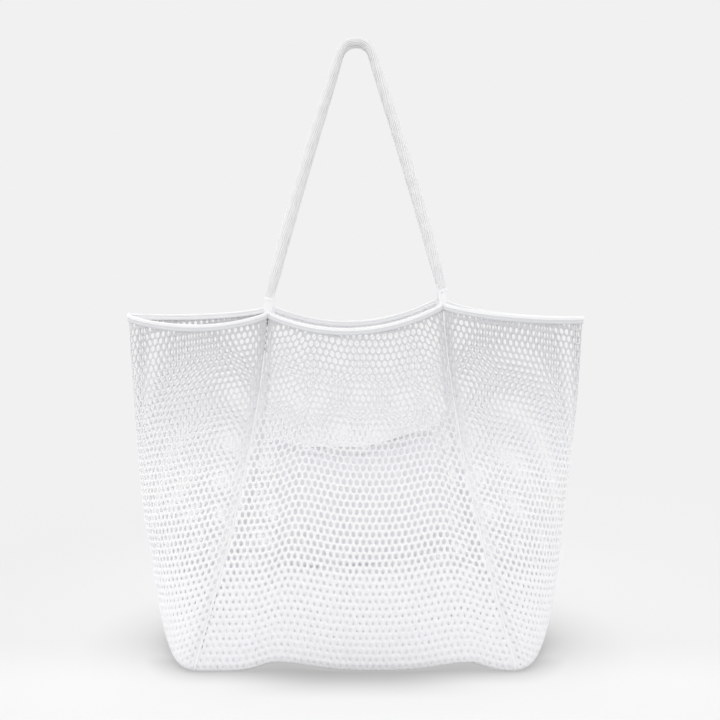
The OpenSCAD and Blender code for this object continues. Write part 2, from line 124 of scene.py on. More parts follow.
world = bpy.data.worlds.new("studio")
bpy.context.scene.world = world
world.use_nodes = True
tree = world.node_tree
tree.nodes.clear()
path = node(tree, "ShaderNodeLightPath").outputs
seen = calc(tree, "MAXIMUM", path["Is Camera Ray"],
            calc(tree, "MAXIMUM", path["Is Glossy Ray"], path["Is Transmission Ray"]))
way = node(tree, "ShaderNodeSeparateXYZ",
           {0: node(tree, "ShaderNodeTexCoord").outputs["Generated"]}).outputs
tent = calc(tree, "ADD", calc(tree, "MULTIPLY", calc(tree, "MAXIMUM", way[2], 0.0),
                                TENT_OVERHEAD),
            calc(tree, "ADD", calc(tree, "MULTIPLY", way[1], TENT_BEHIND),
                 calc(tree, "SUBTRACT", TENT_LEVEL,
                      calc(tree, "MULTIPLY", way[0], TENT_LEFT))))
fill = node(tree, "ShaderNodeBackground", {"Color": (0.998, 0.995, 1.0, 1.0), "Strength": tent})
wall = node(tree, "ShaderNodeBackground", {"Color": (*WALL, 1.0), "Strength": 1.0})
both = node(tree, "ShaderNodeMixShader", {0: seen, 1: fill.outputs[0], 2: wall.outputs[0]})
node(tree, "ShaderNodeOutputWorld", {"Surface": both.outputs[0]})

FLOOR_RADIUS, FLOOR_SIDES = 6.0, 96
CLOSE_SHADE, LEAN_SHADE, WIDE_SHADE = 0.030, 0.06, 0.10
mesh = bpy.data.meshes.new("floor")
ring = [(FLOOR_RADIUS * math.cos(a), FLOOR_RADIUS * math.sin(a), 0.0)
        for a in (2 * math.pi * k / FLOOR_SIDES for k in range(FLOOR_SIDES))]
mesh.from_pydata(ring, [], [range(FLOOR_SIDES)])
floor = bpy.data.objects.new("floor", mesh)
bpy.context.scene.collection.objects.link(floor)
floor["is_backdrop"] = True
material = bpy.data.materials.new("table_top")
material.use_nodes = True
tree = material.node_tree
tree.nodes.clear()
place = node(tree, "ShaderNodeTexCoord").outputs["Object"]
away = vector_calc(tree, "LENGTH", place, out="Value")
fade = node(tree, "ShaderNodeMapRange", {"Value": away, "From Min": 0.35, "From Max": 1.2},
            interpolation_type="SMOOTHERSTEP").outputs["Result"]
grain = node(tree, "ShaderNodeTexNoise", {"Vector": place, "Scale": 3.0, "Detail": 2.0})
outer = node(tree, "ShaderNodeMapRange", {"Value": calc(tree, "ADD", away, calc(
             tree, "MULTIPLY", grain.outputs["Fac"], 0.02)), "From Min": 0.14, "From Max": 0.7},
             interpolation_type="SMOOTHSTEP").outputs["Result"]
side_to_side, fore_and_aft, _ = node(tree, "ShaderNodeSeparateXYZ", {0: place}).outputs
# painted shade: the table's colour is greyer behind and beside the tote
behind = node(tree, "ShaderNodeMapRange", {"Value": fore_and_aft, "From Min": -0.13,
              "From Max": 0.0}, interpolation_type="SMOOTHSTEP").outputs["Result"]
tone = node(tree, "ShaderNodeMix", {"Factor": behind, "A": (*FLOOR_NEAR, 1.0),
            "B": (*FLOOR_BEHIND, 1.0)}, data_type="RGBA")
tone = node(tree, "ShaderNodeMix", {"Factor": outer, "A": tone.outputs["Result"],
            "B": (*FLOOR_FAR, 1.0)}, data_type="RGBA")
close = node(tree, "ShaderNodeAmbientOcclusion", {"Distance": CLOSE_SHADE},
             samples=16).outputs["AO"]
around = node(tree, "ShaderNodeAmbientOcclusion", {"Distance": WIDE_SHADE},
              samples=12).outputs["AO"]
# painted shadow: the table darkens where ambient occlusion finds the tote near, and a touch to the
# left
reach = calc(tree, "MULTIPLY", behind, 0.28)
shade = calc(tree, "SUBTRACT", 1.0, calc(tree, "MULTIPLY", reach, calc(
             tree, "SUBTRACT", 1.0, around)))
shade = calc(tree, "MULTIPLY", shade, calc(
    tree, "ADD", calc(tree, "MULTIPLY", side_to_side, 0.03), 1.0))
# painted shadow before the tote, most in its middle, where its front leans out over the table
over = node(tree, "ShaderNodeAmbientOcclusion", {"Distance": LEAN_SHADE}, samples=16).outputs["AO"]
middle = node(tree, "ShaderNodeMapRange", {"Value": calc(tree, "ABSOLUTE", side_to_side),
              "From Min": 0.03, "From Max": 0.15, "To Min": 0.88, "To Max": 0.0},
              interpolation_type="SMOOTHSTEP").outputs["Result"]
middle = calc(tree, "MULTIPLY", middle, calc(tree, "SUBTRACT", 1.0, behind))
shade = calc(tree, "MULTIPLY", shade, calc(tree, "SUBTRACT", 1.0, calc(
             tree, "MULTIPLY", middle, calc(tree, "SUBTRACT", 1.0, over))))
tone = node(tree, "ShaderNodeMix", {"Factor": 1.0, "A": tone.outputs["Result"], "B": node(
            tree, "ShaderNodeCombineColor", {0: shade, 1: shade, 2: shade}).outputs[0]},
            data_type="RGBA", blend_type="MULTIPLY")
top = node(tree, "ShaderNodeBsdfDiffuse", {"Color": tone.outputs["Result"]})
# right under the tote and just before it, where ambient occlusion finds the table hidden, it
# glows one soft grey: a painted shadow given as emission
deep = node(tree, "ShaderNodeEmission", {"Color": (*DEEP_SHADE, 1.0)})
ahead = node(tree, "ShaderNodeMapRange", {"Value": fore_and_aft, "From Min": -0.070,
             "From Max": -0.050, "To Min": 1.1, "To Max": 0.05},
             interpolation_type="SMOOTHSTEP").outputs["Result"]
hidden = node(tree, "ShaderNodeMath", {0: calc(tree, "SUBTRACT", 1.0, close), 1: ahead},
              operation="MULTIPLY", use_clamp=True)
top = node(tree, "ShaderNodeMixShader", {0: hidden.outputs[0], 1: top.outputs[0],
                                         2: deep.outputs[0]})
far = node(tree, "ShaderNodeEmission", {"Color": (*WALL, 1.0)})
both = node(tree, "ShaderNodeMixShader", {0: fade, 1: top.outputs[0], 2: far.outputs[0]})
node(tree, "ShaderNodeOutputMaterial", {"Surface": both.outputs[0]})
mesh.materials.append(material)


def softbox(name, at, aim, size, watts):
    """A square area lamp that faces aim."""
    lamp = bpy.data.objects.new(name, bpy.data.lights.new(name, "AREA"))
    lamp.data.size = size
    lamp.data.energy = watts
    lamp.location = at
    lamp.rotation_euler = (Vector(aim) - Vector(at)).to_track_quat("-Z", "Y").to_euler()
    bpy.context.scene.collection.objects.link(lamp)


softbox("back_box", (-0.3, 1.6, 1.9), (0, 0, 0.2), 1.2, 2.0)
softbox("left_box", (-2.2, 0.0, 1.2), (0, 0, 0.3), 1.4, 2.0)
softbox("right_box", (2.2, 0.0, 1.2), (0, 0, 0.3), 1.4, 1.0)

# ---- the lines that the cloth is cut and sewn along ----
# Five pieces of white knitted mesh: front, back, two side panels that fold inwards, and a
# base. They are sewn along four upright seams that lean together under the handles.
low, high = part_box("base_panel")
HALF_LENGTH = (high.x - low.x) / 2 + 0.0003
HALF_DEPTH = (high.y - low.y) / 2 + 0.0003
HALF_MOUTH = (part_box("right_gusset")[1].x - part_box("left_gusset")[0].x) / 2 - 0.0012
CLOTH = 0.0012
SEAM_X, SEAM_Y = 0.102, 0.020
SEAM_TOP, SIDE_LEAN, BACK_LEAN = 0.394, 0.010, 0.008
CORNER_TOP = 0.380
RIM_DIP, HEM_LIFT, FOOT_CURL = 0.024, 0.0098, 0.0035
FACE_LEAN, FACE_BELLY, SLACK = 0.025, 0.006, 0.007
FRONT, BACK, LEFT, RIGHT = -1, 1, -1, 1


def mix(a, b, t):
    return a + (b - a) * t


def seam_top(sx, sy):
    return SEAM_TOP + (SIDE_LEAN * sx + BACK_LEAN * sy) / 2


def seam(sx, sy, v):
    """The upright seam at a corner, as x, y and z, for v from the base (0) to the rim (1)."""
    return (sx * (mix(SEAM_X, HALF_LENGTH, (1 - v) ** 1.6) - tuck(v)),
            sy * (mix(HALF_DEPTH, SEAM_Y, v ** 1.4) - tuck(v)),
            mix(CLOTH, seam_top(sx, sy), v))


def hem_wave(x):
    """The two waves in which the long edges of the base lift off the table."""
    crests = (-0.49 * HALF_LENGTH, 0.024, 0.050), (0.72 * HALF_LENGTH, 0.048, 0.024)
    waves = sum(np.exp(-((x - at) / np.where(x < at, before, after)) ** 2)
                for at, before, after in crests)
    return HEM_LIFT * waves * (1 - np.abs(x / HALF_LENGTH) ** 10)


SWAG = np.array([(-0.82 * SEAM_X, CORNER_TOP - 0.034), (-0.62 * SEAM_X, 0.289),
                 (-0.36 * SEAM_X, 0.247), (0, 0.240), (0.45 * SEAM_X, 0.2596),
                 (0.88 * SEAM_X, 0.2904), (0.93 * SEAM_X, CORNER_TOP - 0.034)])


def tuck(v):
    """How far the foot of the cloth curls in under itself where it meets the table."""
    return FOOT_CURL * np.clip(1 - np.asarray(v) / 0.020, 0, 1) ** 2


def swag(x, z):
    """The fold of slack cloth that hangs in a U between the front handle's ends."""
    near = np.full(np.shape(x), 1.0)
    for a, b in zip(SWAG[:-1], SWAG[1:]):
        d = b - a
        t = np.clip(((x - a[0]) * d[0] + (z - a[1]) * d[1]) / (d @ d), 0, 1)
        near = np.minimum(near, np.hypot(x - a[0] - d[0] * t, z - a[1] - d[1] * t))
    return SLACK * np.exp(-(near / 0.015) ** 2)


def face(sy, u, v):
    """A point of the front or back panel's inner side, u from the left seam to the right."""
    x0, y0, _ = seam(RIGHT, sy, v)
    x = u * x0
    dip = RIM_DIP * (1 - u * u) * v ** 3
    lift = hem_wave(x) * (1 - v) ** 6
    z = mix(CLOTH, mix(seam_top(LEFT, sy), seam_top(RIGHT, sy), (u + 1) / 2), v)
    out = FACE_LEAN * v ** 1.1 + FACE_BELLY * np.sin(np.pi * v)
    fold = swag(x, z - dip) * (1 - np.abs(u) ** 8) * (1 - v ** 12) if sy == FRONT else 0
    return np.stack(np.broadcast_arrays(x, y0 + sy * (out * (1 - u * u) + fold),
                                        z - dip + lift), -1)


def bezier(a, b, c, d, t):
    return a * (1 - t) ** 3 + 3 * b * t * (1 - t) ** 2 + 3 * c * t * t * (1 - t) + d * t ** 3


def side(sx, u, v):
    """A point of a side panel's inner side, u from the front seam over the fold to the back."""
    a = np.abs(u)
    turn = 1 - (np.sqrt(a * a + 0.0064) - 0.08) / (math.sqrt(1.0064) - 0.08)
    hollow, until = (0.003, 0.40) if sx == LEFT else (0.0035, 0.75)
    out_x = (mix(HALF_LENGTH, HALF_MOUTH, v ** 0.23) - tuck(v)
             - hollow * np.sin(np.pi * np.clip(v / until, 0, 1)))
    sy = np.where(u < 0, FRONT, BACK)
    x0, y0, z0 = seam(sx, sy, v)
    x0, y0 = np.abs(x0), np.abs(y0)
    x = bezier(x0, x0 + mix(0.034, 0.028, v) * v ** 0.08, out_x - 0.058 * v, out_x, turn)
    y = bezier(y0, y0 + mix(-0.002, 0.032, v), mix(0.050, 0.034, v), 0, 1 - a)
    drop = np.where(u < 0, 0.014 if sx == LEFT else 0.004, 0.004)
    rise = 0.0035 * v ** 3 if sx == LEFT else 0.0
    z = mix(mix(CLOTH, CORNER_TOP, v) + rise, z0, a ** 1.5) - drop * np.sin(np.pi * a) * v ** 4
    return np.stack(np.broadcast_arrays(sx * x, sy * y, z), -1)


def base(u, w):
    """A point of the base's upper side, u along it and w from its front edge to its back."""
    edge = np.maximum(0, (np.abs(w) - 0.5) / 0.5)
    return np.stack(np.broadcast_arrays(u * (HALF_LENGTH - tuck(0)), w * (HALF_DEPTH - tuck(0)),
                                        CLOTH + hem_wave(u * HALF_LENGTH) * edge ** 1.5), -1)


# ---- the knitted mesh ----
# White polyester warp-knit mesh: oval holes in staggered rows, 7 mm apart and 7.8 mm from row
# to row, between round cords of fine looped yarn. One Geometry Nodes tree fills a flat cut with
# cells, trims them to its outline, and lays them on the shape in which the cloth hangs.
PITCH, ROW = 0.0070, 0.0078
HOLE_X, HOLE_Y, SHUT_UNDER, SEAM_MARGIN = 0.0021, 0.0030, 0.06, 0.0009


def cell_outline():
    """Twelve points round a cell, and the twelve of its hole, clockwise from the top."""
    tall, low_side = 0.62 * ROW, 0.38 * ROW
    corners = [(0, tall), (PITCH / 2, low_side), (PITCH / 2, -low_side),
               (0, -tall), (-PITCH / 2, -low_side), (-PITCH / 2, low_side)]
    outer = []
    for a, b in zip(corners, corners[1:] + corners[:1]):
        outer += [a, ((a[0] + b[0]) / 2, (a[1] + b[1]) / 2)]
    turn = [math.pi * k / 6 for k in range(12)]
    hole = [(HOLE_X * math.sin(t) * (1 + 0.06 * math.cos(2 * t) ** 2), HOLE_Y * math.cos(t))
            for t in turn]
    return outer, hole


outer, hole = cell_outline()
mesh = bpy.data.meshes.new("mesh_cell")
rings = [(outer, 1.0), (hole, 0.42), (hole, -0.42), (outer, -1.0)]
points = [(*p, z) for ring, z in rings for p in ring]
quads = [(12 * r + 12 + k, 12 * r + 12 + (k + 1) % 12, 12 * r + (k + 1) % 12, 12 * r + k)
         for r in range(3) for k in range(12)]
mesh.from_pydata(points, [], quads)
cell = bpy.data.objects.new("mesh_cell", mesh)


def new_tree(name, sockets):
    """A Geometry Nodes tree that takes a mesh and these named inputs."""
    tree = bpy.data.node_groups.new(name, "GeometryNodeTree")
    tree.interface.new_socket("Geometry", in_out="INPUT", socket_type="NodeSocketGeometry")
    for label, kind in sockets:
        tree.interface.new_socket(label, in_out="INPUT", socket_type="NodeSocket" + kind)
    tree.interface.new_socket("Geometry", in_out="OUTPUT", socket_type="NodeSocketGeometry")
    return tree, tree.nodes.new("NodeGroupInput").outputs


def stored(tree, geometry, name, value, data_type="FLOAT_VECTOR", domain="POINT"):
    return node(tree, "GeometryNodeStoreNamedAttribute",
                {"Geometry": geometry, "Name": name, "Value": value},
                data_type=data_type, domain=domain).outputs[0]


def attribute(tree, name, data_type="FLOAT_VECTOR"):
    return node(tree, "GeometryNodeInputNamedAttribute", {"Name": name},
                data_type=data_type).outputs["Attribute"]


def sampled(tree, surface, name, at):
    """The surface's attribute at its nearest point."""
    return node(tree, "GeometryNodeSampleNearestSurface",
                {"Mesh": surface, "Value": attribute(tree, name), "Sample Position": at},
                data_type="FLOAT_VECTOR").outputs["Value"]


def knitted_mesh_tree():
    tree, given = new_tree("knitted_mesh", (
        ("Cell", "Object"), ("Pitch", "Float"), ("Row", "Float"), ("Thickness", "Float"),
        ("Seam Margin", "Float"), ("Material", "Material")))
    cut, pitch, row = given["Geometry"], given["Pitch"], given["Row"]
    box = node(tree, "GeometryNodeBoundBox", {"Geometry": cut}).outputs
    reach = node(tree, "ShaderNodeSeparateXYZ",
                 {0: vector_calc(tree, "SUBTRACT", box["Max"], box["Min"])}).outputs
    middle = vector_calc(tree, "SCALE", vector_calc(tree, "ADD", box["Max"], box["Min"]))
    middle.node.inputs["Scale"].default_value = 0.5
    across = calc(tree, "ADD", calc(tree, "CEIL", calc(tree, "DIVIDE", reach[0], pitch)), 3.0)
    up = calc(tree, "ADD", calc(tree, "CEIL", calc(tree, "DIVIDE", reach[1], row)), 3.0)
    grid = node(tree, "GeometryNodeMeshGrid", {
        "Size X": calc(tree, "MULTIPLY", calc(tree, "SUBTRACT", across, 1.0), pitch),
        "Size Y": calc(tree, "MULTIPLY", calc(tree, "SUBTRACT", up, 1.0), row),
        "Vertices X": across, "Vertices Y": up}).outputs["Mesh"]
    index = node(tree, "GeometryNodeInputIndex").outputs[0]
    odd = calc(tree, "MODULO", calc(tree, "MODULO", index, up), 2.0)
    step = calc(tree, "MULTIPLY", calc(tree, "SUBTRACT", odd, 0.5),
                calc(tree, "MULTIPLY", pitch, 0.5))
    moved = vector_calc(tree, "ADD", middle,
                        node(tree, "ShaderNodeCombineXYZ", {0: step}).outputs[0])
    grid = node(tree, "GeometryNodeSetPosition", {"Geometry": grid, "Offset": moved}).outputs[0]

    here = node(tree, "GeometryNodeInputPosition").outputs[0]
    rim = node(tree, "FunctionNodeCompare", {
        2: node(tree, "GeometryNodeInputMeshEdgeNeighbors").outputs[0], 3: 1},
        data_type="INT", operation="EQUAL").outputs[0]
    outline = node(tree, "GeometryNodeSeparateGeometry", {"Geometry": cut, "Selection": rim},
                   domain="EDGE").outputs["Selection"]

    def gap(surface, element, out="Distance"):
        return node(tree, "GeometryNodeProximity", {0: surface, "Sample Position": here},
                    target_element=element).outputs[out]

    outside = gap(cut, "FACES")
    inside = calc(tree, "LESS_THAN", outside, 1e-6)
    depth = calc(tree, "MULTIPLY", gap(outline, "EDGES"), inside)
    opened = node(tree, "ShaderNodeMapRange", {
        "Value": depth, "From Min": given["Seam Margin"],
        "From Max": calc(tree, "ADD", given["Seam Margin"], 0.0022)},
        interpolation_type="SMOOTHSTEP").outputs["Result"]
    far = calc(tree, "GREATER_THAN", outside, calc(tree, "MULTIPLY", row, 0.7))
    grid = node(tree, "GeometryNodeDeleteGeometry", {"Geometry": grid, "Selection": far},
                domain="POINT").outputs[0]
    grid = stored(tree, grid, "centre", here)
    asked = sampled(tree, cut, "open", here)
    narrow = calc(tree, "MULTIPLY", opened,
                  node(tree, "ShaderNodeSeparateXYZ", {0: asked}).outputs[0])
    # a hole too small to see is shut, so that its rim leaves no stray faces
    opened = calc(tree, "MULTIPLY", opened, calc(tree, "GREATER_THAN", narrow, SHUT_UNDER))
    width = node(tree, "ShaderNodeVectorMath", {0: asked, "Scale": opened},
                 operation="SCALE").outputs[0]
    grid = stored(tree, grid, "hole", width)
    shape = node(tree, "GeometryNodeObjectInfo", {"Object": given["Cell"]}).outputs["Geometry"]
    cells = node(tree, "GeometryNodeInstanceOnPoints",
                 {"Points": grid, "Instance": shape}).outputs[0]
    cells = node(tree, "GeometryNodeRealizeInstances", {"Geometry": cells}).outputs[0]

    xyz = node(tree, "ShaderNodeSeparateXYZ", {0: here}).outputs
    flat = node(tree, "ShaderNodeCombineXYZ", {0: xyz[0], 1: xyz[1]}).outputs[0]
    centre = attribute(tree, "centre")
    drawn = vector_calc(tree, "ADD", centre, vector_calc(
        tree, "MULTIPLY", vector_calc(tree, "SUBTRACT", flat, centre), attribute(tree, "hole")))
    is_hole = calc(tree, "LESS_THAN", calc(tree, "ABSOLUTE", xyz[2]), 0.5)
    cells = stored(tree, cells, "high", calc(tree, "MULTIPLY", xyz[2], calc(
        tree, "MULTIPLY", given["Thickness"], 0.5)), "FLOAT")
    where = node(tree, "ShaderNodeMix", {"Factor": is_hole, 4: flat, 5: drawn},
                 data_type="VECTOR").outputs[1]
    cells = node(tree, "GeometryNodeSetPosition",
                 {"Geometry": cells, "Position": where}).outputs[0]
    cells = node(tree, "GeometryNodeSetPosition",
                 {"Geometry": cells, "Position": gap(cut, "FACES", "Position")}).outputs[0]
    free = calc(tree, "GREATER_THAN", gap(outline, "EDGES"), 1e-5)
    cells = stored(tree, cells, "high",
                   calc(tree, "MULTIPLY", attribute(tree, "high", "FLOAT"), free), "FLOAT")
    cells = stored(tree, cells, "edge", calc(tree, "SUBTRACT", 1.0, free), "BOOLEAN")
    cells = node(tree, "GeometryNodeDeleteGeometry", {
        "Geometry": cells, "Selection": attribute(tree, "edge", "BOOLEAN")},
        domain="FACE").outputs[0]
    cells = stored(tree, cells, "cut", here, "FLOAT2", "CORNER")
    lifted = node(tree, "ShaderNodeVectorMath", {0: sampled(tree, cut, "out", here),
                  "Scale": attribute(tree, "high", "FLOAT")}, operation="SCALE").outputs[0]
    cells = node(tree, "GeometryNodeSetPosition", {
        "Geometry": cells,
        "Position": vector_calc(
            tree, "ADD", sampled(tree, cut, "place", here), lifted)}).outputs[0]
    cells = node(tree, "GeometryNodeMergeByDistance",
                 {"Geometry": cells, "Distance": 2e-5}).outputs[0]
    cells = node(tree, "GeometryNodeSetShadeSmooth", {"Geometry": cells}).outputs[0]
    cells = node(tree, "GeometryNodeSetMaterial",
                 {"Geometry": cells, "Material": given["Material"]}).outputs[0]
    node(tree, "NodeGroupOutput", {0: cells})
    return tree


def cut_piece(name, points, out, open_at=None):
    """A mesh that lies flat as its cloth was cut, and holds where each point of it hangs."""
    rows, cols, _ = points.shape
    across = np.linalg.norm(np.diff(points, axis=1), axis=2)
    across = np.concatenate([np.zeros((rows, 1)), np.cumsum(across, axis=1)], axis=1)
    across -= across[:, cols // 2:cols // 2 + 1]
    up = np.linalg.norm(np.diff(points, axis=0), axis=2)
    up = np.concatenate([np.zeros((1, cols)), np.cumsum(up, axis=0)], axis=0)
    mesh = bpy.data.meshes.new(name)
    flat = np.stack([across, up, np.zeros_like(up)], -1).reshape(-1, 3)
    faces = [(i * cols + j, i * cols + j + 1, (i + 1) * cols + j + 1, (i + 1) * cols + j)
             for i in range(rows - 1) for j in range(cols - 1)]
    mesh.from_pydata(flat.tolist(), [], faces)
    opening = np.ones_like(points) if open_at is None else open_at
    for label, values in (("place", points), ("out", out), ("open", opening)):
        mesh.attributes.new(label, "FLOAT_VECTOR", "POINT").data.foreach_set(
            "vector", values.astype(np.float32).ravel())
    piece = bpy.data.objects.new(name, mesh)
    bpy.context.scene.collection.objects.link(piece)
    quads = flat.reshape(rows, cols, 3)
    a, b = quads[1:, 1:] - quads[:-1, :-1], quads[1:, :-1] - quads[:-1, 1:]
    area = float(np.abs(a[..., 0] * b[..., 1] - a[..., 1] * b[..., 0]).sum() / 2)
    size = (float(np.ptp(flat[:, 0])), float(np.ptp(flat[:, 1])))
    return piece, size, area


def worked(source, tree, name, values):
    """The mesh that a Geometry Nodes tree makes of source, which it then takes the place of."""
    modifier = source.modifiers.new(tree.name, "NODES")
    modifier.node_group = tree
    for item in tree.interface.items_tree:
        if item.in_out == "INPUT" and item.name in values:
            modifier[item.identifier] = values[item.name]
    source.update_tag()
    ready = source.evaluated_get(bpy.context.evaluated_depsgraph_get())
    mesh = bpy.data.meshes.new_from_object(ready)
    mesh.name = name
    bpy.data.objects.remove(source)
    for label in ("centre", "hole", "high", "place", "out", "open", "edge"):
        if label in mesh.attributes:
            mesh.attributes.remove(mesh.attributes[label])
    piece = bpy.data.objects.new(name, mesh)
    bpy.context.scene.collection.objects.link(piece)
    return piece


def yarn_group():
    """Looped or woven yarn: rows of small rounded loops, uneven as real yarn is."""
    tree = bpy.data.node_groups.new("yarn", "ShaderNodeTree")
    for label, kind in (("Vector", "Vector"), ("Along", "Float"), ("Across", "Float"),
                        ("Unevenness", "Float")):
        tree.interface.new_socket(label, in_out="INPUT", socket_type="NodeSocket" + kind)
    for label in ("Height", "Shade"):
        tree.interface.new_socket(label, in_out="OUTPUT", socket_type="NodeSocketFloat")
    given = tree.nodes.new("NodeGroupInput").outputs
    rough = node(tree, "ShaderNodeTexNoise", {"Vector": given["Vector"], "Scale": 700.0,
                 "Detail": 2.0}).outputs["Fac"]
    drift = calc(tree, "MULTIPLY", calc(tree, "SUBTRACT", rough, 0.5), given["Unevenness"])
    xyz = node(tree, "ShaderNodeSeparateXYZ", {0: given["Vector"]}).outputs
    loops = []
    for axis, size in ((0, given["Across"]), (1, given["Along"])):
        turn = calc(tree, "ADD", calc(tree, "MULTIPLY", calc(tree, "DIVIDE", xyz[axis], size),
                                      2 * math.pi), calc(tree, "MULTIPLY", drift, 6.0))
        loops.append(calc(tree, "SINE", turn))
    twill = calc(tree, "MULTIPLY", loops[0], loops[1])
    height = calc(tree, "ADD", calc(tree, "MULTIPLY", twill, 0.35),
                  calc(tree, "ADD", calc(tree, "MULTIPLY", drift, 0.5), 0.5))
    cloud = node(tree, "ShaderNodeTexNoise", {"Vector": given["Vector"], "Scale": 28.0,
                 "Detail": 3.0}).outputs["Fac"]
    # Shade is darker where the loops sink, painted shade between them, and varies with a random
    # cloud
    shade = calc(tree, "ADD", calc(tree, "MULTIPLY", height, 0.6),
                 calc(tree, "MULTIPLY", cloud, 0.4))
    node(tree, "NodeGroupOutput", {"Height": height, "Shade": shade})
    return tree


yarn = yarn_group()


def shaded(tree, tone, amount):
    """A colour times a grey of this amount."""
    grey = node(tree, "ShaderNodeCombineColor", {0: amount, 1: amount, 2: amount}).outputs[0]
    return node(tree, "ShaderNodeMix", {"Factor": 1.0, 6: tone, 7: grey}, data_type="RGBA",
                blend_type="MULTIPLY").outputs[2]


def cloth(name, pale, dark, along, across, relief, uv="cut", through=0.3, depth=0.0005,
          painted_top_shade=1.0, painted_rib_shade=0.0):
    """White polyester cloth: yarn of these loop sizes, paler on the loops than between them.

    A factor under one for the top greys its upper half by that factor and its foot a little:
    painted shade, as the light falls on it. A factor for the ribs darkens it where the mesh's own
    attribute "hollow" is one: painted shade between the handle's ribs."""
    material = bpy.data.materials.new(name)
    material.use_nodes = True
    tree = material.node_tree
    tree.nodes.clear()
    at = node(tree, "ShaderNodeUVMap", uv_map=uv).outputs[0] if uv else node(
        tree, "ShaderNodeTexCoord").outputs["Object"]
    loops = node(tree, "ShaderNodeGroup", node_tree=yarn)
    tree.links.new(at, loops.inputs["Vector"])
    for key, value in (("Along", along), ("Across", across), ("Unevenness", 0.6)):
        loops.inputs[key].default_value = value
    tone = node(tree, "ShaderNodeMix", {"Factor": loops.outputs["Shade"], 6: (*dark, 1.0),
                7: (*pale, 1.0)}, data_type="RGBA").outputs[2]
    if painted_top_shade < 1:
        # painted shade: greyer towards the top of the cloth and a little greyer at its foot
        height = node(tree, "ShaderNodeSeparateXYZ", {
            0: node(tree, "ShaderNodeTexCoord").outputs["Object"]}).outputs[2]
        drawn = node(tree, "ShaderNodeMapRange", {"Value": height, "From Min": 0.195,
                     "From Max": 0.36, "To Min": 1.0, "To Max": painted_top_shade}).outputs["Result"]
        foot = node(tree, "ShaderNodeMapRange", {"Value": height, "From Min": 0.0,
                    "From Max": 0.16, "To Min": 0.945, "To Max": 1.0}).outputs["Result"]
        tone = shaded(tree, tone, calc(tree, "MULTIPLY", drawn, foot))
    if painted_rib_shade > 0:
        # painted shade: darker where the mesh's attribute hollow is one, between the handle's ribs
        hollow = node(tree, "ShaderNodeAttribute", attribute_name="hollow").outputs["Fac"]
        tone = shaded(tree, tone, calc(tree, "SUBTRACT", 1.0, calc(
            tree, "MULTIPLY", hollow, painted_rib_shade)))
    bump = node(tree, "ShaderNodeBump", {"Height": loops.outputs["Height"], "Strength": 0.7,
                "Distance": relief}).outputs[0]
    surface = node(tree, "ShaderNodeBsdfPrincipled", {
        "Base Color": tone, "Normal": bump, "Roughness": 0.75, "Specular IOR Level": 0.35,
        "Sheen Weight": 0.1, "Sheen Roughness": 0.5, "Subsurface Weight": through,
        "Subsurface Radius": (1.0, 1.0, 1.0), "Subsurface Scale": depth})
    node(tree, "ShaderNodeOutputMaterial", {"Surface": surface.outputs[0]})
    return material


# the front and side panels' mesh is a greyer copy of the back panel's: painted shade on them
knit = cloth("mesh_cloth", (0.965, 0.965, 0.978), (0.89, 0.892, 0.91), 0.0011, 0.0008, 0.00025,
             through=1.0, depth=0.0009, painted_top_shade=0.74)
back_knit = cloth("back_mesh", (0.975, 0.98, 0.99), (0.93, 0.94, 0.955), 0.0011, 0.0008, 0.00025,
                  through=1.0, depth=0.0009)
# the handle's cloth is darkened by its hollow attribute: painted shade between its ribs
handle_knit = cloth("handle_mesh", (0.975, 0.975, 0.98), (0.88, 0.88, 0.89), 0.0011, 0.0008,
                    0.0003, painted_rib_shade=0.75)
edge_knit = cloth("edge_mesh", (0.975, 0.98, 0.99), (0.93, 0.94, 0.955), 0.0011, 0.0008, 0.00025)
net_tree = knitted_mesh_tree()


def outward(points, flip):
    """Unit normals of a grid of points."""
    n = np.cross(np.gradient(points, axis=1), np.gradient(points, axis=0))
    n /= np.maximum(np.linalg.norm(n, axis=2, keepdims=True), 1e-12)
    return -n if flip else n


def unit(n):
    return n / np.linalg.norm(n, axis=-1, keepdims=True)


def run_along(line):
    """The length from a line's first point to each of its points."""
    return np.concatenate([[0], np.cumsum(np.linalg.norm(np.diff(line, axis=0), axis=1))])


EASED_U = np.sin(np.linspace(-math.pi / 2, math.pi / 2, 81) * 0.96) / math.sin(math.pi * 0.48)
EASED_V = np.linspace(0, 1, 101) ** 1.15
UU, VV = np.meshgrid(EASED_U, EASED_V)


def seam_out(sx, sy):
    """The way out along an upright seam, halfway between those of the two panels it joins."""
    ends = []
    for shape, end, flip in ((lambda u, v: face(sy, u, v), sx, sy == BACK),
                             (lambda u, v: side(sx, u, v), sy, sx == LEFT)):
        u, v = np.meshgrid(np.array([0.97, 0.985, 1.0]), EASED_V)
        n = outward(shape(u * end, v), flip)[:, 1]
        ends.append(n * end)
    return unit(ends[0] + ends[1])


def panel_grid(shape, flip, at_left, at_right):
    """A panel's points and its ways out, which turn into its neighbours' along its seams."""
    points = shape(UU, VV)
    out = outward(points, flip)
    for end, seam_way in ((-1, at_left), (1, at_right)):
        near = np.clip((UU * end - 0.9) / 0.1, 0, 1)[..., None] ** 2
        out = unit(mix(out, seam_way[:, None, :], near))
    foot = np.clip(1 - VV / 0.04, 0, 1)[..., None] ** 2
    level = unit(out * (1, 1, 0))
    out = unit(mix(out, level * math.sqrt(0.5) - (0, 0, math.sqrt(0.5)), foot))
    return points + out * CLOTH / 2, out


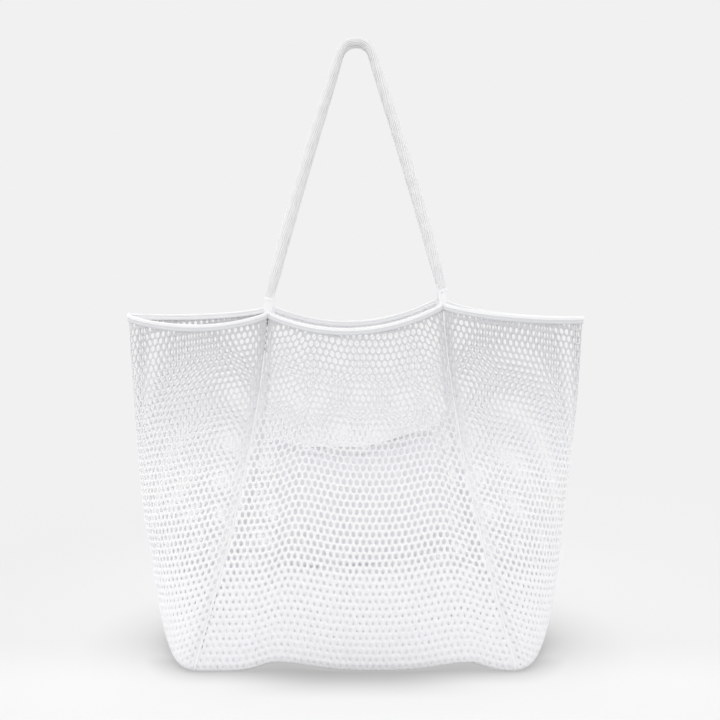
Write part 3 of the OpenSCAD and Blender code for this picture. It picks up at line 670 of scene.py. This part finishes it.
def net(name, points, out, body, node_name, thickness=0.0014, open_at=None,
        material=knit):
    """A mesh panel in the place of its CAD sheet."""
    flat, size, area = cut_piece(name + "_cut", points, out, open_at)
    piece = worked(flat, net_tree, name, {
        "Cell": cell, "Pitch": PITCH, "Row": ROW, "Thickness": thickness,
        "Seam Margin": SEAM_MARGIN, "Material": material})
    # where the rows and columns run the other way round, the faces are turned to face outwards
    row, col = points.shape[0] // 2, points.shape[1] // 2
    turn = np.cross(points[row, col + 1] - points[row, col],
                    points[row + 1, col] - points[row, col])
    if turn @ out[row, col] < 0:
        piece.data.flip_normals()
    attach(piece, body)
    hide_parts(node_name)
    return piece


def drawn_tight(reach):
    """How far the holes open: near a handle's end its pull closes them to narrow slits."""
    near = np.clip((np.abs(UU) - reach) / (1 - reach), 0, 1) ** 0.7
    near = near * np.clip((VV - 0.45) / 0.5, 0, 1) ** 0.8
    foot = np.clip(1 - VV / 0.28, 0, 1) ** 0.5
    wide = 0.76 + 0.50 * np.clip((VV - 0.10) / 0.70, 0, 1)
    wide = wide * (1 - 0.7 * np.clip((VV - 0.972) / 0.01, 0, 1))
    return np.stack([wide * (1 - 0.62 * near) * (1 - 0.61 * foot),
                     wide * (1 + 0.08 * near) * (1 - 0.63 * foot), np.ones_like(near)], -1)


SEAM_WAYS = {(sx, sy): seam_out(sx, sy) for sx in (LEFT, RIGHT) for sy in (FRONT, BACK)}
for sy, label in ((FRONT, "front"), (BACK, "back")):
    points, out = panel_grid(lambda u, v: face(sy, u, v), sy == BACK,
                             SEAM_WAYS[LEFT, sy], SEAM_WAYS[RIGHT, sy])
    net(label + "_mesh", points, out, "bag", label + "_panel", open_at=drawn_tight(0.90),
        material=knit if sy == FRONT else back_knit)
for sx, label in ((LEFT, "left"), (RIGHT, "right")):
    points, out = panel_grid(lambda u, v: side(sx, u, v), sx == LEFT,
                             SEAM_WAYS[sx, FRONT], SEAM_WAYS[sx, BACK])
    net(label + "_mesh", points, out, "bag", label + "_gusset", open_at=drawn_tight(0.84))
uu, ww = np.meshgrid(np.linspace(-1, 1, 61), np.linspace(-1, 1, 41))
points = base(uu, ww)
out = unit(np.stack([uu ** 15, ww ** 15, -np.ones_like(uu)], -1))
net("base_mesh", points + out * CLOTH / 2, out, "bag", "base_panel", thickness=0.0012,
    open_at=np.ones_like(points) * (0.4, 0.4, 1.0), material=edge_knit)

# ---- rim bindings ----
# Soft woven tape folded over the raw rim of each panel and stitched through: a round roll on
# top, a 7 mm flap outside and a shorter one inside, with one row of stitches.
tape = cloth("binding_tape", (0.985, 0.988, 0.992), (0.94, 0.95, 0.96), 0.0006, 0.0009, 0.00012)


def closed_shell(name, rings, uvs, material):
    """A closed mesh through equal rings of points, its first and last ring filled."""
    count, around = rings.shape[:2]
    mesh = bpy.data.meshes.new(name)
    faces = [(i * around + j, i * around + (j + 1) % around,
              (i + 1) * around + (j + 1) % around, (i + 1) * around + j)
             for i in range(count - 1) for j in range(around)]
    ends = [tuple(range(around))[::-1], tuple((count - 1) * around + j for j in range(around))]
    mesh.from_pydata(rings.reshape(-1, 3).tolist(), [], faces + ends)
    layer = mesh.uv_layers.new(name="cut").data
    flat = uvs.reshape(-1, 2)
    step = 0
    for polygon in mesh.polygons:
        for loop in polygon.loop_indices:
            layer[loop].uv = flat[mesh.loops[loop].vertex_index]
    work = bmesh.new()
    work.from_mesh(mesh)
    bmesh.ops.recalc_face_normals(work, faces=work.faces)
    work.to_mesh(mesh)
    work.free()
    mesh.shade_smooth()
    mesh.materials.append(material)
    piece = bpy.data.objects.new(name, mesh)
    bpy.context.scene.collection.objects.link(piece)
    return piece


def binding_section():
    """The folded tape's section as [outwards, upwards] of the cloth's top edge, in metres."""
    roll = [(0.0008 + 0.0014 * math.cos(t), 0.0001 + 0.0014 * math.sin(t))
            for t in np.linspace(-0.75, math.pi + 0.7, 15)]
    middle = [(0.0018, -0.0070), (0.00185, -0.0056), (0.00185, -0.0042), (0.0018, -0.0030),
              (0.00175, -0.0020)]
    middle += roll + [(-0.0007, -0.0018), (-0.00065, -0.0034), (-0.00065, -0.0052)]
    middle = np.array(middle)
    way = np.gradient(middle, axis=0)
    across = np.stack([way[:, 1], -way[:, 0]], -1)
    across /= np.linalg.norm(across, axis=1, keepdims=True)
    half = 0.00034
    return np.concatenate([middle + across * half, (middle - across * half)[::-1]])


SECTION = binding_section()
# the outer flap takes a grey copy of the tape: painted shade under the roll
FLAP = 4
painted_flap_shade = cloth("binding_flap_painted_shade", (0.76, 0.77, 0.785), (0.68, 0.69, 0.705), 0.0006, 0.0009,
                   0.00012)


def rim_line(shape, us):
    """The rim of a panel, with the way up along its cloth at each point."""
    u, v = np.meshgrid(us, np.array([0.98, 1.0]))
    points = shape(u, v)
    return points[1], unit(points[1] - points[0])


def binding(name, shape, flip, at_left, at_right, replaced):
    us = np.linspace(-1, 1, 121)
    line, up = rim_line(shape, us)
    uu, vv = np.meshgrid(us, np.array([0.97, 0.985, 1.0]))
    out = outward(shape(uu, vv), flip)[2]
    for end, way in ((-1, at_left[-1]), (1, at_right[-1])):
        near = np.clip((us * end - 0.9) / 0.1, 0, 1)[:, None] ** 2
        out = unit(mix(out, way, near))
    out = unit(out - up * (out * up).sum(-1, keepdims=True))
    along = run_along(line)
    pucker = 1 + 0.10 * np.sin(along * 2 * math.pi / 0.0115) * np.sin(along * 2 * math.pi / 0.047)
    rings = (line[:, None]
             + out[:, None] * SECTION[:, 0][None, :, None] * pucker[:, None, None]
             + up[:, None] * SECTION[:, 1][None, :, None])
    girth = run_along(SECTION)
    uvs = np.stack(np.broadcast_arrays(along[:, None], girth[None]), -1)
    piece = closed_shell(name, rings, uvs, tape)
    # the outer flap lies flat on the open mesh; its grey is painted shade under the roll
    piece.data.materials.append(painted_flap_shade)
    around = len(SECTION)
    for polygon in piece.data.polygons[:(len(us) - 1) * around]:
        if polygon.index % around < FLAP:
            polygon.material_index = 1
    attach(piece, "bag")
    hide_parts(replaced)
    return line, up, out


rims = {}
for sy, label in ((FRONT, "front"), (BACK, "back")):
    rims[label] = binding(label + "_rim_tape", lambda u, v: face(sy, u, v), sy == BACK,
                          SEAM_WAYS[LEFT, sy], SEAM_WAYS[RIGHT, sy], label + "_binding")
for sx, label in ((LEFT, "left"), (RIGHT, "right")):
    rims[label] = binding(label + "_rim_tape", lambda u, v: side(sx, u, v), sx == LEFT,
                          SEAM_WAYS[sx, FRONT], SEAM_WAYS[sx, BACK], label + "_binding")

# ---- stitches ----
# White polyester thread. Each stitch is a short rounded bar that sinks at both ends; a Geometry
# Nodes tree sets them along a seam line, one every three millimetres.
thread = cloth("thread", (0.96, 0.965, 0.975), (0.86, 0.87, 0.89), 0.00035, 0.0003, 0.00006,
               uv=None)
mesh = bpy.data.meshes.new("stitch")
points = [(-1.0, 0.0, 0.0)]
for x, size in (-0.86, 0.62), (-0.4, 1.0), (0.4, 1.0), (0.86, 0.62):
    points += [(x, size * math.cos(t), size * math.sin(t))
               for t in (2 * math.pi * k / 6 for k in range(6))]
points.append((1.0, 0.0, 0.0))
faces = [(0, 1 + (k + 1) % 6, 1 + k) for k in range(6)]
for r in range(3):
    faces += [(1 + 6 * r + k, 1 + 6 * r + (k + 1) % 6, 7 + 6 * r + (k + 1) % 6, 7 + 6 * r + k)
              for k in range(6)]
faces += [(25, 19 + k, 19 + (k + 1) % 6) for k in range(6)]
mesh.from_pydata(points, [], faces)
stitch = bpy.data.objects.new("stitch", mesh)


def stitch_tree():
    tree, given = new_tree("stitches", (
        ("Stitch", "Object"), ("Every", "Float"), ("Length", "Float"), ("Thread", "Float"),
        ("Slant", "Float"), ("Material", "Material")))
    line = node(tree, "GeometryNodeMeshToCurve", {"Mesh": given["Geometry"]}).outputs[0]
    spots = node(tree, "GeometryNodeCurveToPoints", {"Curve": line, "Length": given["Every"]},
                 mode="LENGTH").outputs
    facing = node(tree, "FunctionNodeAlignRotationToVector", {"Vector": attribute(tree, "out")},
                  axis="Z").outputs[0]
    turned = node(tree, "FunctionNodeAlignRotationToVector",
                  {"Rotation": facing, "Vector": spots["Tangent"]}, axis="X",
                  pivot_axis="Z").outputs[0]
    slant = node(tree, "ShaderNodeCombineXYZ", {2: given["Slant"]}).outputs[0]
    turned = node(tree, "FunctionNodeRotateRotation", {0: turned, 1: node(
        tree, "FunctionNodeEulerToRotation", {0: slant}).outputs[0]},
        rotation_space="LOCAL").outputs[0]
    size = node(tree, "ShaderNodeCombineXYZ", {
        0: calc(tree, "MULTIPLY", given["Length"], 0.5),
        1: calc(tree, "MULTIPLY", given["Thread"], 0.5),
        2: calc(tree, "MULTIPLY", given["Thread"], 0.5)}).outputs[0]
    shape = node(tree, "GeometryNodeObjectInfo", {"Object": given["Stitch"]}).outputs["Geometry"]
    made = node(tree, "GeometryNodeInstanceOnPoints", {
        "Points": spots["Points"], "Instance": shape, "Rotation": turned,
        "Scale": size}).outputs[0]
    made = node(tree, "GeometryNodeRealizeInstances", {"Geometry": made}).outputs[0]
    made = node(tree, "GeometryNodeSetShadeSmooth", {"Geometry": made}).outputs[0]
    made = node(tree, "GeometryNodeSetMaterial",
                {"Geometry": made, "Material": given["Material"]}).outputs[0]
    node(tree, "NodeGroupOutput", {0: made})
    return tree


sewing = stitch_tree()


def sewn(name, lines, every=0.0030, length=0.0023, thickness=0.0004, slant=0.0, body="bag",
         material=thread):
    """Stitches along lines, each a list of points and the ways out of the cloth there."""
    mesh = bpy.data.meshes.new(name)
    points = np.concatenate([p for p, _ in lines])
    out = np.concatenate([o for _, o in lines])
    edges, start = [], 0
    for p, _ in lines:
        edges += [(start + k, start + k + 1) for k in range(len(p) - 1)]
        start += len(p)
    mesh.from_pydata(points.tolist(), edges, [])
    mesh.attributes.new("out", "FLOAT_VECTOR", "POINT").data.foreach_set(
        "vector", out.astype(np.float32).ravel())
    source = bpy.data.objects.new(name, mesh)
    bpy.context.scene.collection.objects.link(source)
    piece = worked(source, sewing, name, {
        "Stitch": stitch, "Every": every, "Length": length, "Thread": thickness,
        "Slant": slant, "Material": material})
    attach(piece, body)
    return piece


for label, (line, up, out) in rims.items():
    sewn(label + "_rim_stitches", [(line + out * 0.00225 - up * 0.0048, out)])

# Dark and grey copies of the stitch bar, set in rows along a seam fold and the pocket's foot:
# painted shadow.
slit_shadow = cloth("needle_slit_shadow", (0.26, 0.26, 0.265), (0.18, 0.18, 0.185), 0.00035, 0.0003, 0.00006,
             uv=None, through=0.0)
grey_slit_shadow = cloth("seam_slit_shadow", (0.42, 0.42, 0.425), (0.32, 0.32, 0.325), 0.00035, 0.0003,
                  0.00006, uv=None, through=0.0)
pocket_slit_shadow = cloth("pocket_slit_shadow", (0.76, 0.76, 0.77), (0.66, 0.66, 0.67), 0.00035, 0.0003,
                    0.00006, uv=None, through=0.0)

# ---- seam edges ----
# Along every seam the two cut edges are turned in together, which leaves a soft round edge of
# doubled mesh, two millimetres wide, that stands a little proud between the panels.


def edge_roll(name, line, out, width, height):
    """A flattened roll of cloth along a line."""
    way = unit(np.gradient(line, axis=0))
    out = unit(out - way * (out * way).sum(-1, keepdims=True))
    across = np.cross(way, out)
    turn = np.linspace(0, 2 * math.pi, 13)[:-1]
    along = run_along(line)
    swell = 1 + 0.12 * np.sin(along * 2 * math.pi / 0.0078) + 0.10 * np.sin(along * 97.0)
    taper = np.clip(np.minimum(along, along[-1] - along) / 0.003, 0.15, 1)
    rings = (line[:, None] + (across[:, None] * (np.cos(turn) * width / 2)[None, :, None]
             + out[:, None] * (np.sin(turn) * height / 2)[None, :, None])
             * (swell * taper)[:, None, None])
    girth = turn * (width + height) / 4
    uvs = np.stack(np.broadcast_arrays(girth[None], along[:, None]), -1)
    piece = closed_shell(name, rings, uvs, edge_knit)
    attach(piece, "bag")


def corner_name(sx, sy):
    return ("front" if sy == FRONT else "back") + ("_left" if sx == LEFT else "_right")


for (sx, sy), ways in SEAM_WAYS.items():
    label = corner_name(sx, sy)
    v = np.linspace(0.004, 0.984, 181)
    line = np.stack(np.broadcast_arrays(*seam(sx, sy, v)), -1)
    ways = unit(np.stack([np.interp(v, EASED_V, ways[:, k]) for k in range(3)], -1))
    edge_roll(label + "_seam_edge", line + ways * (CLOTH / 2 + 0.0003), ways, 0.0026, 0.0014)
    if label == "front_left":
        # dark grey bars at this seam's top and its foot: painted shadow in the fold of the seam
        beside = unit(np.cross(np.gradient(line, axis=0), ways))
        foot_slit_shadows = (line + ways * (CLOTH / 2 + 0.0004) + beside * 0.0016)[12:38]
        top_slit_shadows = (line + ways * (CLOTH / 2 + 0.0012))[163:177]
        sewn("front_left_seam_slits", [(top_slit_shadows, ways[163:177]), (foot_slit_shadows, ways[12:38])],
             every=0.0061, length=0.0038, thickness=0.0009, material=grey_slit_shadow)
        sewn("front_left_corner_slit", [(line[177:180] + ways[177:180] * (CLOTH / 2 + 0.0010),
                                         ways[177:180])],
             every=0.0040, length=0.0042, thickness=0.0014, material=slit_shadow)
corners = [(-1, -1), (1, -1), (1, 1), (-1, 1)]
for label, (ua, wa), (ub, wb) in zip(("front", "right", "back", "left"), corners,
                                     corners[1:] + corners[:1]):
    t = np.linspace(0, 1, 161)
    line = base(mix(ua, ub, t), mix(wa, wb, t))
    out = unit(np.array([(ua + ub) / 2, (wa + wb) / 2, -0.55]) + np.zeros_like(line))
    edge_roll(label + "_base_edge", line + out * 0.0001 + (0, 0, 0.0008), out, 0.0020, 0.0012)

# ---- tapes inside the seams ----
# Woven polyester tape, nine millimetres wide, laid over the cut edges inside each seam and
# stitched down along both sides. The tapes run up the side panels and round the base.
TAPE_THICK, TAPE_STITCH = 0.0008, 0.0034


def ribbon(name, points, out, thickness, material, replaced=None, ends=0.0, body="bag"):
    """A strip of cloth on a grid of points, out being its upper side, with round long edges."""
    rows, cols, _ = points.shape
    up = run_along(points.mean(1))
    across = np.linalg.norm(np.diff(points, axis=1), axis=2)
    across = np.concatenate([np.zeros((rows, 1)), np.cumsum(across, axis=1)], axis=1)
    half = np.full((rows, cols), thickness / 2)
    half[:, [0, -1]] *= 0.35
    lift = out * half[..., None]
    rings = np.concatenate([points + lift, (points - lift)[:, ::-1]], axis=1)
    u = np.concatenate([across, across[:, ::-1] + thickness], axis=1)
    uvs = np.stack(np.broadcast_arrays(u, up[:, None]), -1)
    piece = closed_shell(name, rings, uvs, material)
    if body:
        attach(piece, body)
    if replaced:
        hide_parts(replaced)
    return piece


for sx in (LEFT, RIGHT):
    for sy in (FRONT, BACK):
        label = corner_name(sx, sy)
        vs = np.linspace(0.03, 1 - 0.009 / CORNER_TOP, 121)
        rows = []
        for v in vs:
            us = np.linspace(0.75, 1.0, 161)
            line = side(sx, us * sy, np.full_like(us, v))[::-1]
            run = run_along(line)
            rows.append(np.interp(np.linspace(0.0006, 0.0096, 9), run, us[::-1]))
        us = np.array(rows)
        vv = np.repeat(vs[:, None], 9, 1)
        step = 1e-4
        here = side(sx, us * sy, vv)
        across = side(sx, (us - step) * sy, vv) - here
        up = side(sx, us * sy, vv - step) - here
        n = unit(np.cross(across, up))
        n *= np.sign(n[0, 0, 0] * sx)
        beside = 0.00012 * np.sin(vv * 190 + sx + 2 * sy)
        line = here - n * (0.00085 + beside)[..., None]
        piece = ribbon(label + "_tape", line, n, TAPE_THICK, tape, label + "_seam_tape")
        sewn(label + "_tape_stitches", [(line[:, k] - n[:, k] * 0.00045, -n[:, k])
                                        for k in (1, 7)], every=TAPE_STITCH)
for label, along_x, at in (("front", True, -1), ("back", True, 1),
                           ("left", False, -1), ("right", False, 1)):
    half, long_half = (HALF_DEPTH, HALF_LENGTH) if along_x else (HALF_LENGTH, HALF_DEPTH)
    cross = at * (1 - np.linspace(0.0013, 0.0103, 9) / half)
    reach = 1 - (0.0113 if along_x else 0.0013) / long_half
    run, cross = np.meshgrid(np.linspace(-reach, reach, 121), cross, indexing="ij")
    line = base(run, cross) if along_x else base(cross, run)
    up = np.zeros_like(line) + (0, 0, 1.0)
    line = line + up * 0.00085
    piece = ribbon(label + "_foot_tape", line, up, TAPE_THICK, tape, label + "_base_tape")
    sewn(label + "_foot_stitches", [(line[:, k] + up[:, k] * 0.00045, up[:, k]) for k in (1, 7)],
         every=TAPE_STITCH)

# ---- the slip pocket ----
# A square of closely woven white cloth on the inside of the back panel, sewn along its sides
# and foot. Its mouth has a deep hem and sags open between its two corners.
POCKET_X, POCKET_LOW, POCKET_RISE = 0.004, 0.069, 0.025
POCKET_WIDE, POCKET_TALL, POCKET_SAG = 0.214, 0.170, 0.026
POCKET_FLARE, POCKET_GAPE, POCKET_AIR, POCKET_CLOTH = 0.012, 0.010, 0.0007, 0.0008
POCKET_STITCH, POCKET_STITCH_LONG = 0.0027, 0.0021
woven = cloth("pocket_cloth", (0.99, 0.992, 0.996), (0.96, 0.965, 0.975), 0.0007, 0.0007, 0.00008,
              through=0.7, depth=0.001)


def back_y(x, z):
    """How far back the back panel lies at x and z."""
    u = np.zeros_like(x)
    for _ in range(7):
        top = mix(seam_top(LEFT, BACK), seam_top(RIGHT, BACK), (u + 1) / 2)
        v = (z - CLOTH) / top
        for _ in range(6):
            v = (z - CLOTH + RIM_DIP * (1 - u * u) * v ** 3) / (top - CLOTH)
        u = x / seam(RIGHT, BACK, v)[0]
    return face(BACK, u, v)[..., 1]


def pocket(u, v, depth):
    """A point of the pocket, u across it and v from its foot to its mouth."""
    x = POCKET_X + u * POCKET_WIDE / 2 + POCKET_FLARE * (1 - v) * (1 + u) / 2
    sag = mix(0.45, 1, v) * POCKET_SAG * (1 - u * u)
    z = POCKET_LOW + v * POCKET_TALL + POCKET_RISE * u / 2 - sag
    gape = POCKET_GAPE * (1 - u * u) ** 0.8 * v ** 1.4
    # soft drag lines run down from the mouth's corners, and the foot is a little gathered
    slack = (1 - u ** 2) * np.sin(np.pi * v) ** 0.5
    drag = 0.0011 * slack * (np.sin(9 * u * (1.4 - v) + 2.1 * v) + 0.5 * np.sin(23 * u + 5 * v))
    drag = drag * np.clip(gape / 0.004 + 0.25, 0, 1)
    return np.stack([x, back_y(x, z) - POCKET_AIR - gape - depth - np.abs(drag), z], -1)


u, v = np.meshgrid(np.linspace(-1, 1, 97), np.linspace(0, 1, 73))
points = pocket(u, v, POCKET_CLOTH / 2)
out = outward(points, False)
flat, size, area = cut_piece("pocket_cut", points, out)
bpy.data.objects.remove(flat)
piece = ribbon("pocket", points, out, POCKET_CLOTH, woven, "pocket_panel")
u, v = np.meshgrid(np.linspace(-1, 1, 97), np.linspace(1 - 0.010 / POCKET_TALL, 1, 7))
hem = pocket(u, v, POCKET_CLOTH + 0.0003 + 0.0004)
hem_out = outward(hem, False)
piece = ribbon("pocket_hem", hem.transpose(1, 0, 2), hem_out.transpose(1, 0, 2), 0.0008, woven,
               "pocket_hem_tape")
front_of = hem - np.array([0, 0.0005, 0])
sewn("pocket_hem_stitches", [(front_of[k], -np.abs(hem_out[k]) * (0, 1, 0)) for k in (1, 5)],
     every=POCKET_STITCH, length=POCKET_STITCH_LONG)
near = points - np.array([0, 0.0005, 0])
facing = np.zeros_like(near) - np.array([0, 1.0, 0])
sewn("pocket_side_stitches", [(near[:-5, k], facing[:-5, k]) for k in (2, 94)]
     + [(near[2], facing[2]), (near[5], facing[5])],
     every=POCKET_STITCH, length=POCKET_STITCH_LONG)
# grey bars along the pocket's foot: painted shadow under its lower edge
sewn("pocket_foot_slits", [(near[1, 12:72] - (0, 0.0002, 0), facing[1, 12:72])], every=0.0036,
     length=0.0034, thickness=0.0011, material=pocket_slit_shadow)

# ---- handles ----
# Each shoulder handle is a tube of the same knitted mesh round a twisted filler cord. Its ends
# are pressed flat, laid inside the rim and held by a bar of close zigzag stitches.
HANDLE_RADIUS, SLEEVE, RIBS = 0.0056, 0.0007, 14
END_HALF, END_THICK, END_LONG = 0.0045, 0.0020, 0.020
NECK, PIVOT_UP, PIVOT_Y, CROWN = 0.0036, 0.0105, 0.0174, 0.0205
CROWN_LOWER, CROWN_LEAN, WIND, HANDLE_ROWS = 0.0018, 17, 14.0, 181
WIDENS_OVER, THICKENS_OVER = 0.038, 0.040
HANDLE_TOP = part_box("front_handle_sleeve")[1].z


def eased(t):
    t = np.clip(t, 0, 1)
    return t * t * (3 - 2 * t)


def handle_line(sy):
    """The middle line of a handle from its left end over its top to its right end."""
    zl, zr = seam_top(LEFT, sy) + PIVOT_UP, seam_top(RIGHT, sy) + PIVOT_UP
    rise = HANDLE_TOP - CROWN_LOWER - HANDLE_RADIUS - (zl + zr) / 2
    lean = math.radians(CROWN_LEAN)
    a = np.array([SEAM_X, NECK + 0.0003 + 0.009 * SIDE_LEAN / (2 * SEAM_X)])
    c = np.array([CROWN * math.cos(lean), rise - CROWN * (1 - math.sin(lean))])
    inward = 0.004 if sy == BACK else 0.0
    b = np.array([mix(a[0], c[0], 0.235) - inward, mix(a[1], c[1], 0.32)])
    t = np.linspace(0, 1, 80)[:-1, None]
    leg = a * (1 - t) ** 2 + 2 * b * t * (1 - t) + c * t * t
    q = np.linspace(lean, math.pi / 2, 25)
    bend = np.stack([CROWN * np.cos(q), rise - CROWN * (1 - np.sin(q))], -1)
    half = np.concatenate([leg, bend])
    arch = np.concatenate([half * (-1, 1), half[-2::-1]])
    line = np.stack([arch[:, 0], sy * mix(PIVOT_Y, HANDLE_RADIUS + 0.0003, arch[:, 1] / rise),
                     mix(zl, zr, (arch[:, 0] / SEAM_X + 1) / 2) + arch[:, 1]], -1)
    run = run_along(line)
    at = np.linspace(0, run[-1], HANDLE_ROWS)
    return np.stack([np.interp(at, run, line[:, k]) for k in range(3)], -1), at


def handle_rings(sy, depth, turns, wind=0.0, twist=0.0, lobes=0):
    """Rings round a handle's line, flat at its ends and round above them, shrunk by depth.

    They wind round the line by wind radians a metre, and so many lobes twist by twist."""
    line, run = handle_line(sy)
    way = unit(np.gradient(line, axis=0))
    fore = unit(np.array([0, 1.0, 0]) - way * way[:, 1:2])
    beside = np.cross(fore, way)
    left = np.minimum(run, run[-1] - run)
    wide = mix(END_HALF, HANDLE_RADIUS, eased(left / WIDENS_OVER)) - depth
    thick = mix(END_THICK / 2 + 0.0003, HANDLE_RADIUS, eased(left / THICKENS_OVER)) - depth
    crown = eased((left / left.max() - 0.8) / 0.2)
    wide = wide - 0.0011 * crown
    turns = turns[None] + wind * run[:, None]
    swell = 1 - 0.05 * np.abs(np.sin(lobes / 2 * (turns + twist * run[:, None])))
    rings = (line[:, None] + beside[:, None] * (wide[:, None] * np.cos(turns) * swell)[..., None]
             + fore[:, None] * (thick[:, None] * np.sin(turns) * swell)[..., None])
    return rings, run


cord = cloth("filler_cord", (0.975, 0.98, 0.985), (0.93, 0.935, 0.945), 0.0012, 0.0009, 0.0002)
for sy, label in ((FRONT, "front"), (BACK, "back")):
    body = label + "_handle"
    # drawn tight lengthwise, its holes are fine slits between ribs that wind slowly round it;
    # its sewn edges meet on the inner side
    turns = np.linspace(0, 2 * math.pi, 133) - sy * math.pi / 2
    rings, run = handle_rings(sy, SLEEVE / 2, turns, wind=WIND)
    inner, _ = handle_rings(sy, SLEEVE / 2 + 0.001, turns, wind=WIND)
    out = unit(rings - inner)
    ribs = np.abs(np.sin(RIBS / 2 * turns))[None] ** 0.7
    knots = np.sin(run[:, None] * 2 * math.pi / 0.0062 + RIBS / 2 * turns[None]) ** 2
    rings = rings - out * (0.0008 * (1 - ribs) * (0.75 + 0.25 * knots))[..., None]
    # the cloth is darkened between the ribs, most on the side that faces into the loop and over
    # its
    # top: painted shade in the slits, carried by the attribute hollow
    facing = np.clip(0.45 + 0.75 * np.cos(turns[None] + WIND * run[:, None] - 0.3), 0, 1)
    high = eased(np.minimum(run, run[-1] - run) / run[-1] * 2)[:, None]
    hollow = ((1 - ribs) ** 1.3 * (0.25 + 0.75 * facing * (0.45 + 0.55 * high))
              * (0.55 + 0.45 * knots))
    flat, size, area = cut_piece(body + "_cut", rings, out)
    bpy.data.objects.remove(flat)
    piece = ribbon(body + "_tube", rings, out, SLEEVE, handle_knit, body + "_sleeve", body=body)
    piece.data.attributes.new("hollow", "FLOAT", "POINT").data.foreach_set(
        "value", np.concatenate([hollow, hollow[:, ::-1]], axis=1).astype(np.float32).ravel())
    turns = np.linspace(0, 2 * math.pi, 31)[:-1]
    rings, run = handle_rings(sy, SLEEVE + 0.0003, turns, twist=150.0, lobes=3)
    uvs = np.stack(np.broadcast_arrays(turns[None] * 0.0042, run[:, None]), -1)
    piece = closed_shell(body + "_filler", rings[2:-2], uvs[2:-2], cord)
    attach(piece, body)
    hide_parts(body + "_core")
    # a turn of tape binds the tube's raw ends
    turns = np.linspace(0, 2 * math.pi, 37)[:-1]
    cuff, run = handle_rings(sy, -0.0004, turns)
    at = np.linspace(-0.0004, 0.0034, 9)
    for sx in (LEFT, RIGHT):
        whole = cuff if sx == LEFT else cuff[::-1]
        low = whole[0] + (whole[0] - whole[1]) * (0.0004 / run[1])
        rows = np.stack([np.interp(at, np.concatenate([[-0.0004], run]), np.concatenate(
            [[low[j, k]], whole[:, j, k]])) for j in range(36) for k in range(3)], -1)
        rows = rows.reshape(len(at), 36, 3)
        middle = rows.mean(1, keepdims=True)
        rows = middle + (rows - middle) * (1 + 0.05 * np.sqrt(np.maximum(
            0, 1 - np.linspace(-1, 1, len(at)) ** 2)))[:, None, None]
        uvs = np.stack(np.broadcast_arrays(turns[None] * 0.0056, at[:, None]), -1)
        piece = closed_shell(corner_name(sx, sy) + "_cuff", rows, uvs, tape)
        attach(piece, body)
    for sx in (LEFT, RIGHT):
        corner = corner_name(sx, sy)
        top = seam_top(sx, sy)
        # the pressed end, from inside the tube down behind the rim
        depths = np.linspace(END_LONG, -PIVOT_UP - NECK, 41)
        foot = np.abs(seam(sx, sy, 1 - np.maximum(depths, 0) / (top - CLOTH))[1])
        y = foot - SEAM_Y + PIVOT_Y
        across = np.linspace(-END_HALF, END_HALF, 13)
        z = top - depths
        x = sx * SEAM_X - sx * 0.12 * np.maximum(z - top - PIVOT_UP, 0)
        fold = 0.00035 * np.cos(np.linspace(-1, 1, 13) * 1.5 * math.pi)
        points = np.stack(np.broadcast_arrays(
            x[:, None] + across[None] * (1 + 0.03 * np.sin(depths * 700)[:, None]),
            sy * (y[:, None] + fold[None]), z[:, None] + 0 * across[None]), -1)
        out = np.zeros_like(points) + np.array([0, float(sy), 0])
        piece = ribbon(corner + "_handle_end", points, out, END_THICK - 0.0004, tape,
                       "handle_tabs", body=None)
        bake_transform(piece)
        # the bar of zigzag stitches across it
        depth = END_LONG - 2 * 0.003
        t = np.linspace(-1, 1, 9)
        bars = []
        for row in (0.25, 0.75):
            down = depth + 0.003 * row
            fy = abs(seam(sx, sy, 1 - down / (top - CLOTH))[1]) - SEAM_Y + PIVOT_Y
            bar = np.stack(np.broadcast_arrays(sx * SEAM_X + t * 0.0038,
                           sy * (fy - END_THICK / 2 - 0.0004), top - down + 0 * t), -1)
            bars.append((bar, np.zeros_like(bar) + np.array([0, -float(sy), 0])))
        piece = sewn(corner + "_bartack", bars, every=0.00055, length=0.0028, thickness=0.0006,
                     slant=1.25)
        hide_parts("handle_bartacks")

low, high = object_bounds()
